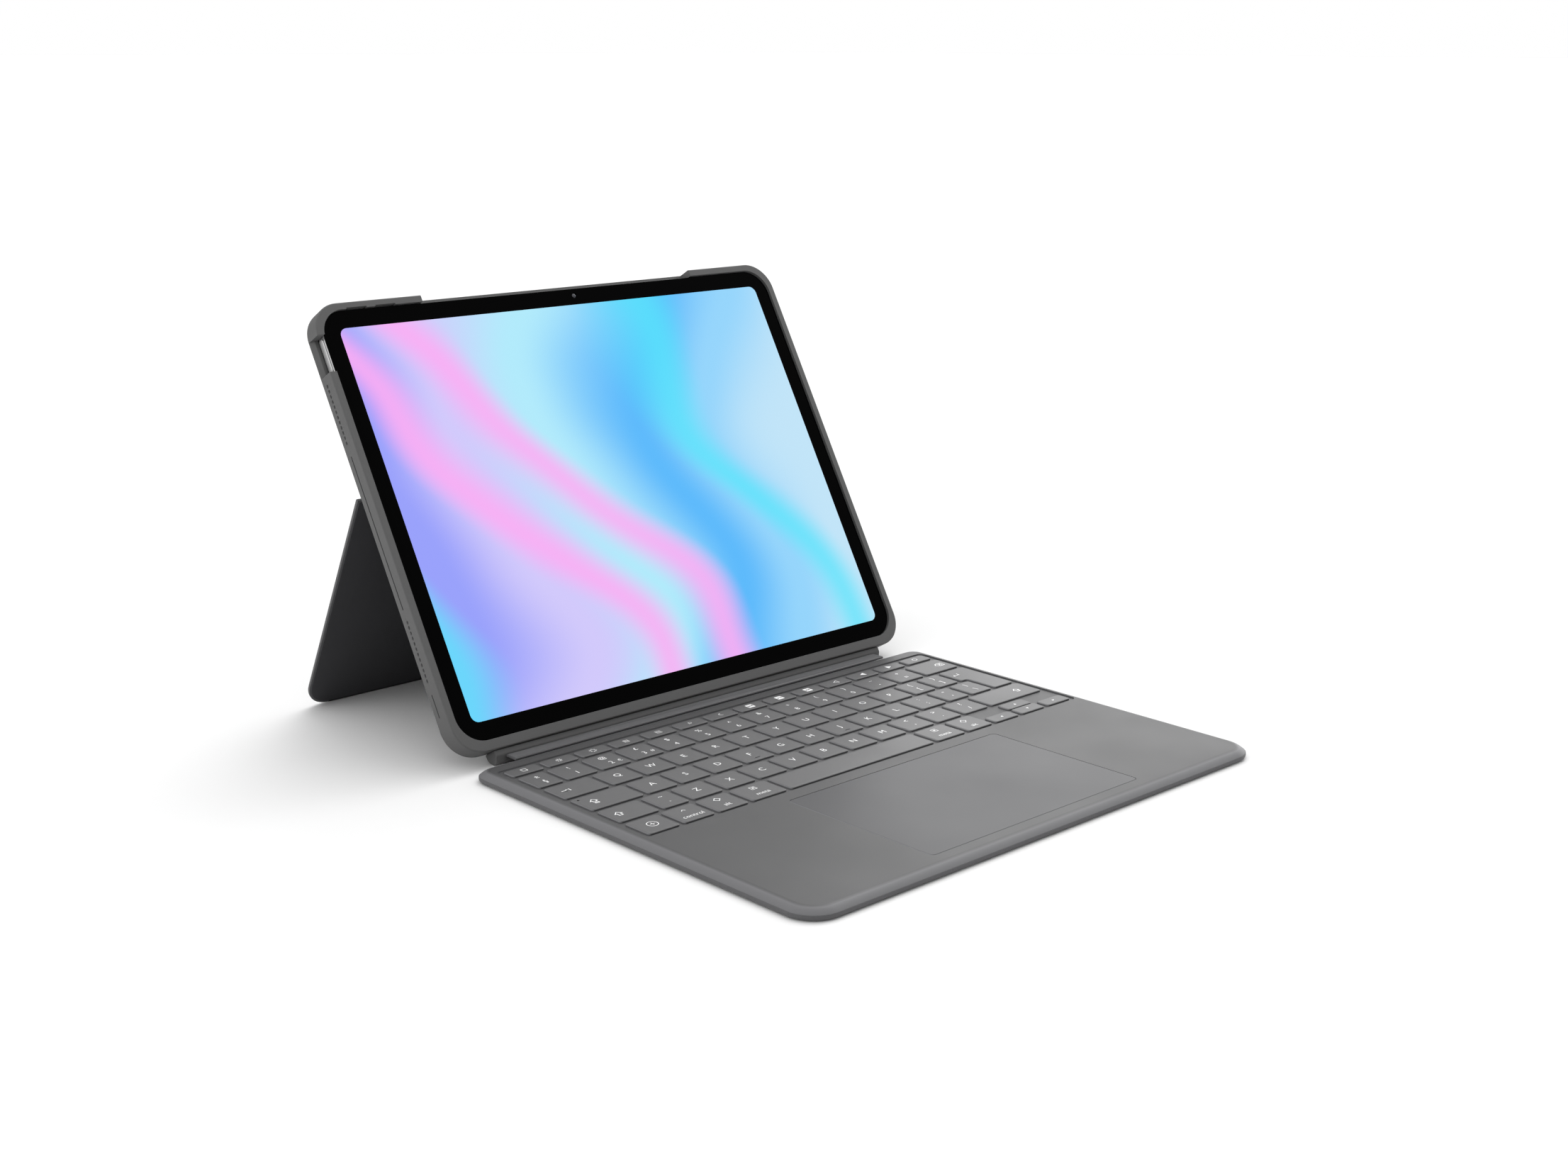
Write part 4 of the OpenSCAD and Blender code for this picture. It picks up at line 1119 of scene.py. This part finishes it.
FIT = 0.03 * MM
bm = bmesh.new()
plate(bm, around(*screen, -FIT), glass_low.z, WINDOW_CORNER - FIT, up=wall(-0.02 * MM - glass_low.z))
layer = bm.loops.layers.uv.new("screen")
width, tall = screen[1].x - screen[0].x, screen[1].y - screen[0].y
for face in bm.faces:
    for loop in face.loops:
        loop[layer].uv = ((loop.vert.co.x - screen[0].x) / width, (loop.vert.co.y - screen[0].y) / tall)
display = closed(bm, "display", display_finish, CASE)
keep(display, "tablet", "display", "display_panel")
display.visible_diffuse = display.visible_glossy = False

# %% [markdown]
# ## Cameras
# A camera is a stack of turned shapes: a thin metal ring and a domed dark glass. The front one is a dot
# behind its own small hole in the glass.

# %% Dome helper
def dome(bm, centre, radius, base, rise, rings=5):
    """A shallow dome on a round base, closed below."""
    turns = [2 * pi * k / 40 for k in range(40)]
    points = [(centre[0] + radius * cos(turn), centre[1] + radius * sin(turn)) for turn in turns]
    build_up(bm, outline_face(bm, points, base, 0), roll(radius * 0.94, rise, rings))
    outline_face(bm, points, base, 0)


# %% Front camera
bm = bmesh.new()
dome(bm, eye, CAMERA_HOLE - 0.05 * MM, glass_low.z, 0.62 * MM)
finish_piece(bm, "front_camera_lens", lens_finish, "tablet", "lens", "front_camera", matrix=CASE)

# %% Rear camera
lens_low = box_in(CASE, "rear_camera")[0]
bm = bmesh.new()
plateau, lens_r, back_n = 8.2 * MM, 6 * MM, tablet_low.z
ring(bm, window, [(lens_r, back_n + 0.1 * MM), (plateau, back_n + 0.1 * MM), (plateau, back_n - 0.7 * MM),
                  (plateau - 0.4 * MM, back_n - MM), (lens_r, back_n - MM)])
ring(bm, window, [(lens_r - MM, back_n - MM), (lens_r, back_n - MM), (lens_r, lens_low.z + 0.2 * MM),
                  (lens_r - 0.2 * MM, lens_low.z), (lens_r - 0.6 * MM, lens_low.z),
                  (lens_r - MM, back_n - 1.4 * MM)])
finish_piece(bm, "rear_camera_ring", silver_finish, "tablet", "lens", "rear_camera", matrix=CASE, angle=30)
bm = bmesh.new()
dome(bm, (window[0], -window[1]), lens_r - MM, -back_n + 0.2 * MM, 0.9 * MM)
finish_piece(bm, "rear_camera_glass", lens_finish, "tablet", "lens",
             matrix=CASE @ Matrix.Rotation(pi, 4, "X"))

# %% Caps lock light
light_finish = make_finish("key_light", (grey(0.75, 1.0), grey(0.8, 1.0)), (0.3, 0.4), bump=0.02)
nodes["caps_lock_light"].data.materials.clear()
nodes["caps_lock_light"].data.materials.append(light_finish)
